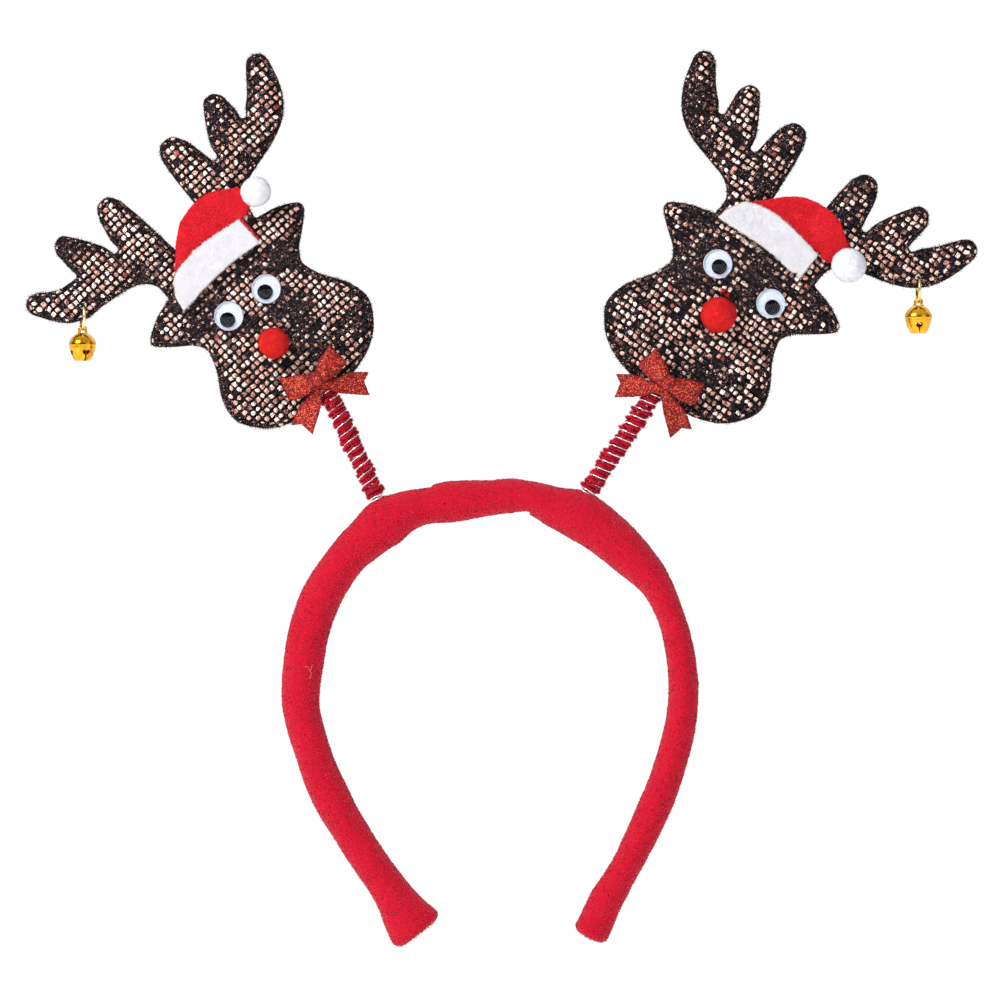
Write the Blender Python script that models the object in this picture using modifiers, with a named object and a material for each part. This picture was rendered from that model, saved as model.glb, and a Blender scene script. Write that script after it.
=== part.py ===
"""Headband with two padded reindeer heads standing on springs.

Metres, +Z up, the fronts face -Y. The origin is the inner face of the hoop at
its top, where the headband sits on the head.
"""

import math

import bmesh
import bpy
import numpy as np
from mathutils import Matrix, Vector, geometry

# Clearance between pieces that touch
GAP = 0.0003

# Hoop: a padded tube bent to an arch in the XZ plane
ARCH_RADIUS = 0.065
HOOP_THICKNESS = 0.0125
HOOP_DEPTH = 0.0155
HOOP_SIDES = 10
HOOP_STEP_DEG = 7.0
TIP_ROUNDING = 0.0026
TIP_BENDS_DEG = (40, 72)
SEAT_DEPTH = 0.0024
SEAT_SIDES = 12

# Rows along the hoop from its right tip over the top to its left tip: the angle about the
# arch's centre, and the shares of ARCH_RADIUS, HOOP_THICKNESS and HOOP_DEPTH there
HOOP_ROWS = (
    # angle, radius, thickness, depth
    (-66, 1.291, 0.93, 0.84),
    (-60, 1.187, 0.86, 0.84),
    (-54, 1.126, 0.78, 0.86),
    (-45, 1.059, 0.79, 0.88),
    (-33, 1.007, 0.84, 0.90),
    (-18, 0.982, 0.80, 0.88),
    (0, 0.990, 0.755, 0.86),
    (15, 1.005, 0.74, 0.86),
    (27, 1.026, 0.71, 0.88),
    (36, 1.037, 0.84, 0.94),
    (44, 1.032, 1.04, 1.00),
    (54, 1.038, 1.19, 1.05),
    (64, 1.051, 1.28, 1.08),
    (71, 1.046, 1.04, 1.04),
    (78, 1.064, 0.77, 0.98),
    (84, 1.052, 0.87, 0.98),
    (90, 1.036, 0.91, 1.00),
    (97, 1.031, 1.00, 1.00),
    (102, 1.037, 1.05, 1.00),
    (108, 1.049, 0.95, 1.00),
    (114, 1.059, 1.08, 1.05),
    (120, 1.056, 1.30, 1.08),
    (127, 1.043, 1.13, 1.06),
    (134, 1.036, 1.00, 1.00),
    (150, 1.010, 1.04, 1.00),
    (168, 0.976, 1.04, 1.00),
    (182, 0.967, 0.96, 0.96),
    (198, 0.946, 0.93, 0.92),
    (212, 0.955, 0.97, 0.92),
    (222, 0.977, 0.92, 0.88),
    (231, 1.017, 0.92, 0.88),
    (239, 1.071, 0.91, 0.88),
    (245, 1.135, 1.04, 0.92),
    (251.5, 1.226, 1.42, 1.00),
)

# Spring: a steel coil with yarn wound between its turns
COIL_RADIUS = 0.00235
WIRE_RADIUS = 0.0003
YARN_COIL_RADIUS = 0.0025
COIL_PITCH = 0.003
CLOSE_PITCH = 0.001
CLOSE_TURNS = 3.0
SPRING_LENGTH = 0.04
POINTS_PER_TURN = 6
# The yarn starts this part of a turn after the close turns and ends before the wire's end
YARN_START_TURN = 0.3
YARN_END_TURN = 0.6

# Padded head: a die-cut outline, thin at its rim and puffed inside
HEAD_WIDTH = 0.063
HEAD_HEIGHT = 0.054
ANTLER_SPAN = 0.114
ANTLER_HEIGHT = 0.050
RIM_THICKNESS = 0.0016
PAD_THICKNESS = 0.0055
PUFF_REACH = 0.009
OUTLINE_STEP = 0.0038
FILL_STEP = 0.0075
FILL_MARGIN = 0.38
SPRING_OVERLAP = 0.006

# Half outline of the head below the antler, from the middle of the chin: shares of
# HEAD_WIDTH across and HEAD_HEIGHT up, and whether the outline has a corner there
HEAD_ROWS = (
    # place, across, up, corner
    ("chin", 0.000, -1.000, False),
    ("jaw", 0.206, -0.976, False),
    ("jaw side", 0.350, -0.915, False),
    ("cheek low", 0.440, -0.822, False),
    ("cheek", 0.495, -0.700, False),
    ("cheek top", 0.470, -0.556, False),
    ("neck low", 0.386, -0.393, False),
    ("neck", 0.355, -0.262, False),
    ("ear root", 0.392, -0.194, False),
    ("ear low", 0.490, -0.105, False),
    ("ear tip low", 0.558, -0.030, False),
    ("ear tip", 0.556, 0.010, False),
    ("ear tip top", 0.520, 0.044, False),
    ("ear top", 0.445, 0.087, False),
    ("antler root", 0.322, 0.125, True),
)

# Underside of an antler from its root to its outer tine, and its inner side down to the
# middle of the head: shares of ANTLER_SPAN across and ANTLER_HEIGHT up
ANTLER_STEM_ROWS = (
    # place, across, up, corner
    ("stem", 0.185, 0.265, False),
    ("fork", 0.221, 0.355, False),
    ("branch", 0.274, 0.396, False),
)
OUTER_TINE_ROWS = (
    # place, across, up, corner
    ("branch end", 0.361, 0.450, False),
    ("tine low", 0.418, 0.512, False),
    ("tine side", 0.462, 0.610, False),
    ("tine top", 0.494, 0.750, False),
)
ANTLER_INNER_ROWS = (
    # place, across, up, corner
    ("inner side", 0.077, 0.690, False),
    ("inner low", 0.070, 0.480, False),
    ("inner root", 0.055, 0.270, False),
)
HEAD_TOP_UP = 0.19

# The jaw stands this far to one side of the middle of the head
JAW_SHIFT = -0.001

# Tines from the outer to the inner one: the centre and radius of the round tip as shares of
# ANTLER_SPAN and ANTLER_HEIGHT, where its arc starts and ends, and the valley after it
TINES = (
    dict(name="outer", across=0.479, up=0.922, radius=0.076, start_deg=0, end_deg=140,
         bow_across=0.400, bow_up=0.820, valley_across=0.343, valley_up=0.700),
    dict(name="middle", across=0.308, up=0.908, radius=0.078, start_deg=10, end_deg=165,
         bow_across=0.237, bow_up=0.790, valley_across=0.202, valley_up=0.618),
    dict(name="inner", across=0.131, up=0.856, radius=0.096, start_deg=10, end_deg=170,
         bow_across=None, bow_up=None, valley_across=None, valley_up=None),
)
TIP_POINTS = 4

# An outer tine that hangs down: where it bends, how far, and how much shorter it is
DROOP_ROOT_ACROSS = 0.333
DROOP_ROOT_UP = 0.48
DROOP_DEG = 15.0
DROOP_SHORTER = 0.0045

# Hat: a flat felt crown whose tip hangs to the right, with a felt cuff and a pompom
FELT_THICKNESS = 0.0014
HAT_WIDTH = 0.034
HAT_HEIGHT = 0.024
CROWN_ROWS = (
    # place, across, up, corner
    ("low left", -0.500, 0.040, True),
    ("left", -0.408, 0.400, False),
    ("left slope", -0.268, 0.610, False),
    ("slope", -0.135, 0.800, False),
    ("top left", 0.000, 0.929, False),
    ("top", 0.147, 0.988, False),
    ("top right", 0.294, 1.000, False),
    ("fold", 0.441, 0.950, False),
    ("tip shoulder", 0.559, 0.835, False),
    ("tip top", 0.690, 0.735, False),
    ("tip top right", 0.880, 0.675, False),
    ("tip right", 0.935, 0.490, False),
    ("tip low right", 0.850, 0.290, False),
    ("tip low", 0.690, 0.275, False),
    ("tip inner", 0.590, 0.395, False),
    ("notch", 0.480, 0.400, True),
    ("low right", 0.468, 0.015, True),
)
CUFF_ROWS = (
    # place, across, up, corner
    ("low left", -0.553, 0.010, True),
    ("low", 0.000, 0.050, False),
    ("low right", 0.440, -0.015, True),
    ("right", 0.450, 0.405, True),
    ("top right", 0.147, 0.479, False),
    ("top left", -0.090, 0.508, False),
    ("top corner", -0.294, 0.479, False),
    ("left top", -0.426, 0.404, True),
    ("left", -0.520, 0.200, False),
)
POMPOM_ACROSS = 0.757
POMPOM_UP = 0.520

# Moving toy eyes
EYE_RADIUS = 0.0049
EYE_BASE_THICKNESS = 0.0006
EYE_DOME_HEIGHT = 0.0026
EYE_WALL = 0.0004
PUPIL_RADIUS = 0.0025
PUPIL_THICKNESS = 0.0003
EYE_SIDES = 12
PUPIL_SIDES = 10
DOME_STEPS = 3

# Pompoms, which sink by this share of their radius into what they are glued on
POMPOM_DIAMETER = 0.01
POMPOM_SINK = 0.22
POMPOM_TUFT = 0.06
POMPOM_SIDES = 12

# Glitter bow of tails, loops and a knot, stacked in front of the spring's top
BOW_WIDTH = 0.032
BOW_HEIGHT = 0.021
BOW_TAIL_THICKNESS = 0.001
BOW_LOOP_THICKNESS = 0.0017
BOW_RIM_SHARE = 0.55
BOW_KNOT_THICKNESS = 0.0012
BOW_KNOT_WIDTH = 0.0038
BOW_KNOT_HEIGHT = 0.0054
BOW_LEAN_BACK = 0.42
BOW_KNOT_SIDES = 12
BOW_STEP = 0.0022
BOW_FILL_STEP = 0.004
LOOP_ROWS = (
    # place, across, up, corner
    ("waist top", 0.000, 0.085, False),
    ("loop rise", 0.078, 0.165, False),
    ("loop top", 0.160, 0.245, False),
    ("loop upper", 0.245, 0.290, False),
    ("upper corner", 0.310, 0.335, True),
    ("loop end", 0.336, 0.150, False),
    ("lower corner", 0.360, -0.030, True),
    ("loop low", 0.220, -0.115, False),
    ("waist low", 0.060, -0.110, False),
)
TAIL_ROWS = (
    # place, across, up, corner
    ("root top", 0.000, -0.030, False),
    ("tail top", 0.150, -0.135, False),
    ("tail upper", 0.330, -0.210, False),
    ("outer point", 0.490, -0.365, True),
    ("notch", 0.395, -0.445, True),
    ("lower point", 0.360, -0.680, True),
    ("tail low", 0.260, -0.560, False),
    ("tail inner", 0.130, -0.400, False),
    ("root low", 0.035, -0.235, True),
)

# Jump ring and jingle bell
HOLE_RADIUS = 0.0013
HOLE_SIDES = 10
RING_RADIUS = 0.0041
RING_WIRE_RADIUS = 0.00045
RING_SIDES = 14
RING_WIRE_SIDES = 6
BELL_WIDTH = 0.0092
BELL_HEIGHT = 0.0094
BELL_WALL = 0.0005
BELL_SIDES = 12
BELL_SLOT_WIDTH = 0.0008
BELL_HOLE_RADIUS = 0.0011
BELL_HOLE_UP = 0.29
BELL_HOLE_SIDES = 6
TAB_HOLE_RADIUS = 0.0008
TAB_RIM = 0.0007
TAB_HEIGHT = 0.0026
TAB_THICKNESS = 0.0007
TAB_FOOT_SHARE = 1.3
TAB_TOP_POINTS = 9
TAB_HOLE_SIDES = 10
PELLET_RADIUS = 0.0013
# Rows of the bell's profile from its top: shares of half its width and of its height
BELL_ROWS = (
    # radius, drop
    (0.00, 0.00),
    (0.38, 0.01),
    (0.80, 0.17),
    (1.00, 0.40),
    (0.96, 0.48),
    (0.84, 0.70),
    (0.48, 0.97),
    (0.00, 1.00),
)

# The two reindeer: where the spring leaves the hoop and how it leans, how the head is turned
# on it, and where the hat, the nose, the bow and the bell's hole are on the head. Lengths are
# shares of SPRING_LENGTH, HEAD_WIDTH, POMPOM_DIAMETER, BOW_WIDTH and BOW_HEIGHT
REINDEER = (
    dict(side="left", seat_deg=119.3, spring_lean_deg=-24.9, spring_length=1.16,
         head_tilt_deg=-43.0, spring_across=-0.01, width=0.97,
         left_antler=dict(across=0.95, up_inner=0.985, up_outer=0.925, droops=True),
         right_antler=dict(across=1.01, up_inner=0.985, up_outer=0.95, droops=False),
         hat_up=0.0, hat_pompom=1.06, nose=1.09, nose_across=-0.068, nose_up=-0.522,
         bow_across=-0.044, bow_up=0.052, bow_turn_deg=-8.5,
         hole_antler="left_antler", hole_across=0.392, hole_up=0.530,
         ring_turn_deg=12.0, bell_turn_deg=22.0),
    dict(side="right", seat_deg=65.2, spring_lean_deg=34.0, spring_length=1.21,
         head_tilt_deg=36.0, spring_across=-0.03, width=1.01,
         left_antler=dict(across=0.975, up_inner=1.0, up_outer=0.99, droops=False),
         right_antler=dict(across=1.0, up_inner=1.0, up_outer=1.0, droops=False),
         hat_up=0.108, hat_pompom=1.18, nose=1.22, nose_across=0.005, nose_up=-0.372,
         bow_across=0.056, bow_up=-0.024, bow_turn_deg=0.0,
         hole_antler="right_antler", hole_across=0.413, hole_up=0.590,
         ring_turn_deg=3.0, bell_turn_deg=0.0),
)

# Eyes: shares of HEAD_WIDTH and HEAD_HEIGHT, and how far the pupil has dropped to one side
# as shares of the room that it has
EYES = (
    dict(side="left", place="outer", across=-0.144, up=-0.209, pupil_across=-0.85, pupil_up=-0.45),
    dict(side="left", place="inner", across=0.099, up=-0.244, pupil_across=-0.70, pupil_up=-0.35),
    dict(side="right", place="inner", across=-0.156, up=-0.119, pupil_across=0.65, pupil_up=-0.35),
    dict(side="right", place="outer", across=0.194, up=-0.124, pupil_across=0.80, pupil_up=-0.55),
)

PARTS = "reindeer_headband"
CUTTERS = "cutters"


# Scene set-up

def clear_scene():
    for obj in list(bpy.data.objects):
        bpy.data.objects.remove(obj, do_unlink=True)


def new_collection(name):
    collection = bpy.data.collections.new(name)
    bpy.context.scene.collection.children.link(collection)
    return collection


def make_material(name, color, roughness, metallic=0.0, alpha=1.0):
    material = bpy.data.materials.new(name)
    material.use_nodes = True
    shader = material.node_tree.nodes["Principled BSDF"]
    shader.inputs["Base Color"].default_value = (*color, 1.0)
    shader.inputs["Roughness"].default_value = roughness
    shader.inputs["Metallic"].default_value = metallic
    shader.inputs["Alpha"].default_value = alpha
    material.diffuse_color = (*color, alpha)
    return material


def make_materials():
    return {
        "fleece": make_material("red_fleece", (0.66, 0.015, 0.035), 0.95),
        "wire": make_material("spring_steel", (0.75, 0.73, 0.70), 0.3, 1.0),
        "yarn": make_material("red_yarn", (0.50, 0.006, 0.025), 0.9),
        "pad": make_material("sequin_fabric", (0.05, 0.035, 0.03), 0.6),
        "red_felt": make_material("red_felt", (0.68, 0.017, 0.03), 0.95),
        "white_felt": make_material("white_felt", (0.80, 0.78, 0.84), 0.95),
        "white_pompom": make_material("white_pompom", (0.82, 0.80, 0.86), 0.95),
        "red_pompom": make_material("red_pompom", (0.72, 0.015, 0.02), 0.95),
        "eye_white": make_material("eye_white", (0.80, 0.84, 0.88), 0.4),
        "eye_black": make_material("eye_black", (0.01, 0.01, 0.012), 0.3),
        "eye_clear": make_material("eye_clear", (0.95, 0.97, 1.0), 0.05, alpha=0.25),
        "glitter": make_material("red_glitter", (0.50, 0.03, 0.025), 0.4),
        "gold": make_material("gold_metal", (0.80, 0.48, 0.10), 0.25, 1.0),
    }


def add_object(name, data, collection, material=None, parent=None, matrix=None):
    obj = bpy.data.objects.new(name, data)
    collection.objects.link(obj)
    if material is not None:
        data.materials.append(material)
    if parent is not None:
        obj.parent = parent
    if matrix is not None:
        obj.matrix_local = matrix
    return obj


def add_empty(name, collection, matrix, parent=None):
    empty = bpy.data.objects.new(name, None)
    collection.objects.link(empty)
    empty.empty_display_size = 0.01
    empty.parent = parent
    empty.matrix_local = matrix
    return empty


def mesh_from_bmesh(name, bm, smooth_deg=None):
    mesh = bpy.data.meshes.new(name)
    bm.to_mesh(mesh)
    bm.free()
    if smooth_deg is not None:
        mesh.shade_smooth()
        mesh.set_sharp_from_angle(angle=math.radians(smooth_deg))
    return mesh


# Smooth curves through rows

def catmull_rom(before, start, end, after, share):
    return 0.5 * (2 * start + (end - before) * share
                  + (2 * before - 5 * start + 4 * end - after) * share ** 2
                  + (3 * start - before - 3 * end + after) * share ** 3)


def smooth_stretch(points, step):
    """Points along a smooth curve through the given ones, without the last."""
    result = []
    for i in range(len(points) - 1):
        start, end = points[i], points[i + 1]
        before = points[i - 1] if i > 0 else 2 * start - end
        after = points[i + 2] if i + 2 < len(points) else 2 * end - start
        count = max(1, round(np.linalg.norm(end - start) / step))
        for k in range(count):
            result.append(catmull_rom(before, start, end, after, k / count))
    return result


def smooth_outline(rows, step):
    """A closed outline through (across, up, corner) rows, smooth except at its corners."""
    points = [np.array(row[:2], dtype=float) for row in rows]
    corners = [i for i, row in enumerate(rows) if row[2]]
    first = corners[0]
    order = points[first:] + points[:first] + [points[first]]
    stops = [i - first for i in corners] + [len(points)]
    outline = []
    for start, stop in zip(stops, stops[1:]):
        outline += smooth_stretch(order[start:stop + 1], step)
    return np.array(outline)


def scaled_rows(rows, width, height):
    return [(across * width, up * height, corner) for _, across, up, corner in rows]


def mirrored(rows):
    """The half outline, then the same points on the other side in reverse."""
    other = [(-across, up, corner) for across, up, corner in reversed(rows) if abs(across) > 1e-9]
    return rows + other


# Hoop

def hoop_table():
    rows = np.array(HOOP_ROWS, dtype=float)
    scale = np.array((1.0, ARCH_RADIUS, HOOP_THICKNESS, HOOP_DEPTH))
    return rows * scale


def hoop_values(angle):
    """Radius, thickness and depth of the hoop at an angle about the arch's centre."""
    rows = hoop_table()
    i = int(np.clip(np.searchsorted(rows[:, 0], angle) - 1, 0, len(rows) - 2))
    start, end = rows[i, 1:], rows[i + 1, 1:]
    before = rows[i - 1, 1:] if i > 0 else 2 * start - end
    after = rows[i + 2, 1:] if i + 2 < len(rows) else 2 * end - start
    share = (angle - rows[i, 0]) / (rows[i + 1, 0] - rows[i, 0])
    return catmull_rom(before, start, end, after, share)


def arch_centre():
    radius, thickness, _ = hoop_values(90.0)
    return Vector((0.0, 0.0, thickness / 2 - radius))


def radial(angle):
    turn = math.radians(angle)
    return Vector((math.cos(turn), 0.0, math.sin(turn)))


def hoop_point(angle):
    return arch_centre() + radial(angle) * float(hoop_values(angle)[0])


def hoop_sections():
    """Centre, in-plane normal, thickness and depth of each section, tip to tip."""
    stops = [row[0] for row in HOOP_ROWS]
    first, last = stops[0], stops[-1]
    angles = []
    for start, end in zip(stops, stops[1:]):
        count = max(1, round((end - start) / HOOP_STEP_DEG))
        angles += list(np.linspace(start, end, count, endpoint=False))
    sections = []
    nudge = 0.5
    for angle in angles + [last]:
        ahead = hoop_point(min(angle + nudge, last))
        behind = hoop_point(max(angle - nudge, first))
        along = (ahead - behind).normalized()
        normal = Vector((along.z, 0.0, -along.x))
        _, thickness, depth = hoop_values(angle)
        sections.append((hoop_point(angle), normal, thickness, depth))
    return sections


def rounded_tip(section, away):
    """Sections that round off a tip, from the full section outwards."""
    centre, normal, thickness, depth = section
    result = []
    for bend_deg in TIP_BENDS_DEG:
        bend = math.radians(bend_deg)
        cut = TIP_ROUNDING * (1 - math.cos(bend)) * 2
        moved = centre + away * TIP_ROUNDING * math.sin(bend)
        result.append((moved, normal, thickness - cut, depth - cut))
    return result


def make_hoop(collection, material):
    sections = hoop_sections()
    start_away = (sections[0][0] - sections[1][0]).normalized()
    end_away = (sections[-1][0] - sections[-2][0]).normalized()
    sections = (list(reversed(rounded_tip(sections[0], start_away))) + sections
                + rounded_tip(sections[-1], end_away))
    bm = bmesh.new()
    rings = []
    for centre, normal, thickness, depth in sections:
        ring = []
        for k in range(HOOP_SIDES):
            turn = 2 * math.pi * (k + 0.5) / HOOP_SIDES
            offset = normal * (thickness / 2 * math.cos(turn))
            offset.y += depth / 2 * math.sin(turn)
            ring.append(bm.verts.new(centre + offset))
        rings.append(ring)
    for ring, following in zip(rings, rings[1:]):
        for k in range(HOOP_SIDES):
            n = (k + 1) % HOOP_SIDES
            bm.faces.new((ring[k], following[k], following[n], ring[n]))
    bm.faces.new(rings[0])
    bm.faces.new(list(reversed(rings[-1])))
    bmesh.ops.recalc_face_normals(bm, faces=bm.faces)
    return add_object("hoop", mesh_from_bmesh("hoop", bm, 60), collection, material)


def cut_with(target, cutter):
    modifier = target.modifiers.new(cutter.name, 'BOOLEAN')
    modifier.operation = 'DIFFERENCE'
    modifier.solver = 'EXACT'
    modifier.object = cutter


def join_with(target, other):
    modifier = target.modifiers.new(other.name, 'BOOLEAN')
    modifier.operation = 'UNION'
    modifier.solver = 'EXACT'
    modifier.object = other


def add_cutter(name, mesh, collection, parent=None, matrix=None):
    cutter = add_object(name, mesh, collection, parent=parent, matrix=matrix)
    cutter.hide_render = True
    cutter.display_type = 'WIRE'
    return cutter


def cylinder_mesh(name, radius, length, sides):
    """A cylinder about Z, centred on its origin."""
    bm = bmesh.new()
    bmesh.ops.create_cone(bm, cap_ends=True, segments=sides, radius1=radius, radius2=radius, depth=length)
    return mesh_from_bmesh(name, bm, 40)


# Springs

def yarn_radius():
    """The yarn fills the room between the wire's turns, less the clearances."""
    climb = math.atan2(COIL_PITCH, 2 * math.pi * COIL_RADIUS)
    return COIL_PITCH / 2 * math.cos(climb) - WIRE_RADIUS - GAP


def spring_reach():
    """How far the yarn reaches from the spring's axis to the front and to the back."""
    return YARN_COIL_RADIUS * math.cos(math.pi / POINTS_PER_TURN) + yarn_radius()


def spring_matrix(row):
    """Frame of a spring: its origin on the floor of its seat, +Z along the spring."""
    angle = row["seat_deg"]
    thickness = float(hoop_values(angle)[1])
    origin = hoop_point(angle) + radial(angle) * (thickness / 2 - SEAT_DEPTH)
    lean = Matrix.Rotation(math.radians(row["spring_lean_deg"]), 4, 'Y')
    return Matrix.Translation(origin) @ lean


def spring_length(row):
    return row["spring_length"] * SPRING_LENGTH


def spring_across(row):
    """How far the spring's axis is across from the middle of the head."""
    return row["spring_across"] * HEAD_WIDTH


def coil_height(turns):
    """Height of the wire after so many turns: close turns at the seat, then open ones."""
    close = min(turns, CLOSE_TURNS)
    return WIRE_RADIUS + GAP + close * CLOSE_PITCH + (turns - close) * COIL_PITCH


def coil_curve(name, first_turn, last_turn, lift, coil_radius, thread_radius):
    data = bpy.data.curves.new(name, 'CURVE')
    data.dimensions = '3D'
    data.bevel_depth = thread_radius
    data.bevel_resolution = 1
    data.render_resolution_u = 0
    data.use_fill_caps = True
    steps = round((last_turn - first_turn) * POINTS_PER_TURN)
    spline = data.splines.new('POLY')
    spline.points.add(steps)
    for i in range(steps + 1):
        turns = first_turn + i / POINTS_PER_TURN
        angle = 2 * math.pi * turns
        place = (coil_radius * math.cos(angle), coil_radius * math.sin(angle), coil_height(turns) + lift)
        spline.points[i].co = (*place, 1.0)
    return data


def make_spring(row, collection, materials, cutters, hoop):
    side = row["side"]
    frame = add_empty(f"{side}_spring_frame", collection, spring_matrix(row))
    turns = CLOSE_TURNS + (spring_length(row) - coil_height(CLOSE_TURNS) - WIRE_RADIUS) / COIL_PITCH
    wire = coil_curve(f"{side}_spring_wire", 0.0, turns, 0.0, COIL_RADIUS, WIRE_RADIUS)
    add_object(f"{side}_spring_wire", wire, collection, materials["wire"], frame)
    yarn = coil_curve(f"{side}_spring_yarn", CLOSE_TURNS + YARN_START_TURN, turns - YARN_END_TURN,
                      COIL_PITCH / 2, YARN_COIL_RADIUS, yarn_radius())
    add_object(f"{side}_spring_yarn", yarn, collection, materials["yarn"], frame)
    seat_length = 4 * SEAT_DEPTH
    seat_radius = (COIL_RADIUS + WIRE_RADIUS + GAP) / math.cos(math.pi / SEAT_SIDES)
    seat = add_cutter(f"{side}_seat_cutter", cylinder_mesh("seat", seat_radius, seat_length, SEAT_SIDES),
                      cutters, frame, Matrix.Translation((0, 0, seat_length / 2)))
    cut_with(hoop, seat)


# Pads: closed bodies over an outline, with a thickness that changes across them

def inside(outline, point):
    following = np.roll(outline, -1, axis=0)
    crosses = (outline[:, 1] > point[1]) != (following[:, 1] > point[1])
    rise = np.where(crosses, following[:, 1] - outline[:, 1], 1.0)
    at = outline[:, 0] + (point[1] - outline[:, 1]) * (following[:, 0] - outline[:, 0]) / rise
    return np.count_nonzero(crosses & (point[0] < at)) % 2 == 1


def edge_distance(outline, point):
    following = np.roll(outline, -1, axis=0)
    along = following - outline
    share = ((point - outline) * along).sum(1) / (along ** 2).sum(1)
    nearest = outline + along * np.clip(share, 0, 1)[:, None]
    return float(np.sqrt(((nearest - point) ** 2).sum(1)).min())


def fill_points(outline, step):
    """A staggered grid of points inside the outline, none close to its edge."""
    low, high = outline.min(0), outline.max(0)
    points = []
    row_step = step * math.sqrt(3) / 2
    for j, up in enumerate(np.arange(low[1] + row_step / 2, high[1], row_step)):
        for across in np.arange(low[0] + step * (0.25 + 0.5 * (j % 2)), high[0], step):
            point = np.array((across, up))
            if inside(outline, point) and edge_distance(outline, point) > step * FILL_MARGIN:
                points.append(point)
    return points


def puffed_half(distance, rim, thickness, reach):
    """Half the thickness of a pad at a distance from its edge."""
    share = min(distance / reach, 1.0)
    return (rim + (thickness - rim) * math.sin(math.pi / 2 * share)) / 2


def pad_mesh(name, outline, step, rim, thickness, reach, middle=lambda point: 0.0):
    """A pad that is rim thick at its edge and thickness deep from reach inwards."""
    points = [Vector(p) for p in outline] + [Vector(p) for p in fill_points(outline, step)]
    loop = list(range(len(outline)))
    flat, _, faces, _, _, _ = geometry.delaunay_2d_cdt(points, [], [loop], 1, 1e-7)
    bm = bmesh.new()
    fronts, backs = [], []
    for point in flat:
        place = np.array(point)
        half = puffed_half(edge_distance(outline, place), rim, thickness, reach)
        level = middle(place)
        fronts.append(bm.verts.new((point.x, point.y, level + half)))
        backs.append(bm.verts.new((point.x, point.y, level - half)))
    for face in faces:
        bm.faces.new([fronts[i] for i in face])
        bm.faces.new([backs[i] for i in reversed(face)])
    twin = dict(zip(fronts, backs))
    for edge in [e for e in bm.edges if e.is_boundary and e.verts[0] in twin]:
        a, b = edge.verts
        bm.faces.new((a, b, twin[b], twin[a]))
    bmesh.ops.recalc_face_normals(bm, faces=bm.faces)
    return mesh_from_bmesh(name, bm, 50)


def plate_curve(name, outline, thickness):
    """A flat plate of an outline, centred on its own plane."""
    data = bpy.data.curves.new(name, 'CURVE')
    data.dimensions = '2D'
    data.fill_mode = 'BOTH'
    data.extrude = thickness / 2
    data.render_resolution_u = 0
    spline = data.splines.new('POLY')
    spline.points.add(len(outline) - 1)
    for point, place in zip(spline.points, outline):
        point.co = (place[0], place[1], 0.0, 1.0)
    spline.use_cyclic_u = True
    return data


# Reindeer heads

def tine_tip(tine):
    """Rows round a tine's tip, and down its inner side to the valley after it."""
    radius = tine["radius"] * ANTLER_HEIGHT
    centre = (tine["across"] * ANTLER_SPAN, tine["up"] * ANTLER_HEIGHT)
    rows = []
    for angle in np.linspace(tine["start_deg"], tine["end_deg"], TIP_POINTS):
        turn = math.radians(angle)
        rows.append((centre[0] + radius * math.cos(turn), centre[1] + radius * math.sin(turn), False))
    if tine["bow_across"] is not None:
        rows.append((tine["bow_across"] * ANTLER_SPAN, tine["bow_up"] * ANTLER_HEIGHT, False))
    return rows


def valley(tine):
    if tine["valley_across"] is None:
        return []
    return [(tine["valley_across"] * ANTLER_SPAN, tine["valley_up"] * ANTLER_HEIGHT, True)]


def drooped(row):
    """Turn a row of the outer tine down about its root and draw it in towards it."""
    across, up, corner = row
    root = Vector((DROOP_ROOT_ACROSS * ANTLER_SPAN, DROOP_ROOT_UP * ANTLER_HEIGHT))
    away = Vector((across, up)) - root
    share = min(away.length / (ANTLER_HEIGHT / 2), 1.0)
    turn = Matrix.Rotation(-math.radians(DROOP_DEG), 2)
    tip = Vector((TINES[0]["across"] * ANTLER_SPAN, TINES[0]["up"] * ANTLER_HEIGHT))
    along = turn @ (tip - root).normalized()
    moved = root + turn @ away - DROOP_SHORTER * share * along
    return (moved.x, moved.y, corner)


def antler_place(antler, hand, across, up):
    """A point of the antler in the head: an antler may be a little wider or lower than the other."""
    share = min(abs(across) / (ANTLER_SPAN / 2), 1.0)
    lift = antler["up_inner"] + (antler["up_outer"] - antler["up_inner"]) * share
    return hand * across * antler["across"], up * lift


def antler_rows(antler, hand):
    """An antler from its root outside round its tines to its inner side; hand is 1 or -1."""
    outer = scaled_rows(OUTER_TINE_ROWS, ANTLER_SPAN, ANTLER_HEIGHT) + tine_tip(TINES[0])
    if antler["droops"]:
        outer = [drooped(row) for row in outer]
    rows = scaled_rows(ANTLER_STEM_ROWS, ANTLER_SPAN, ANTLER_HEIGHT) + outer + valley(TINES[0])
    for tine in TINES[1:]:
        rows += tine_tip(tine) + valley(tine)
    rows += scaled_rows(ANTLER_INNER_ROWS, ANTLER_SPAN, ANTLER_HEIGHT)
    return [(*antler_place(antler, hand, across, up), corner) for across, up, corner in rows]


def jaw_row(across, up, corner):
    share = min(max(-up / (HEAD_HEIGHT / 2), 0.0), 1.0)
    return (across + JAW_SHIFT * share, up, corner)


def head_outline(row):
    """The whole outline, from the chin round the right side, over the top and down the left."""
    half = scaled_rows(HEAD_ROWS, HEAD_WIDTH * row["width"], HEAD_HEIGHT)
    other = [jaw_row(-across, up, corner) for across, up, corner in reversed(half[1:])]
    half = [jaw_row(*place) for place in half]
    right = antler_rows(row["right_antler"], 1)
    left = antler_rows(row["left_antler"], -1)
    rows = half + right + [(0.0, HEAD_TOP_UP * ANTLER_HEIGHT, False)] + list(reversed(left)) + other
    return smooth_outline(rows, OUTLINE_STEP)


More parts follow.
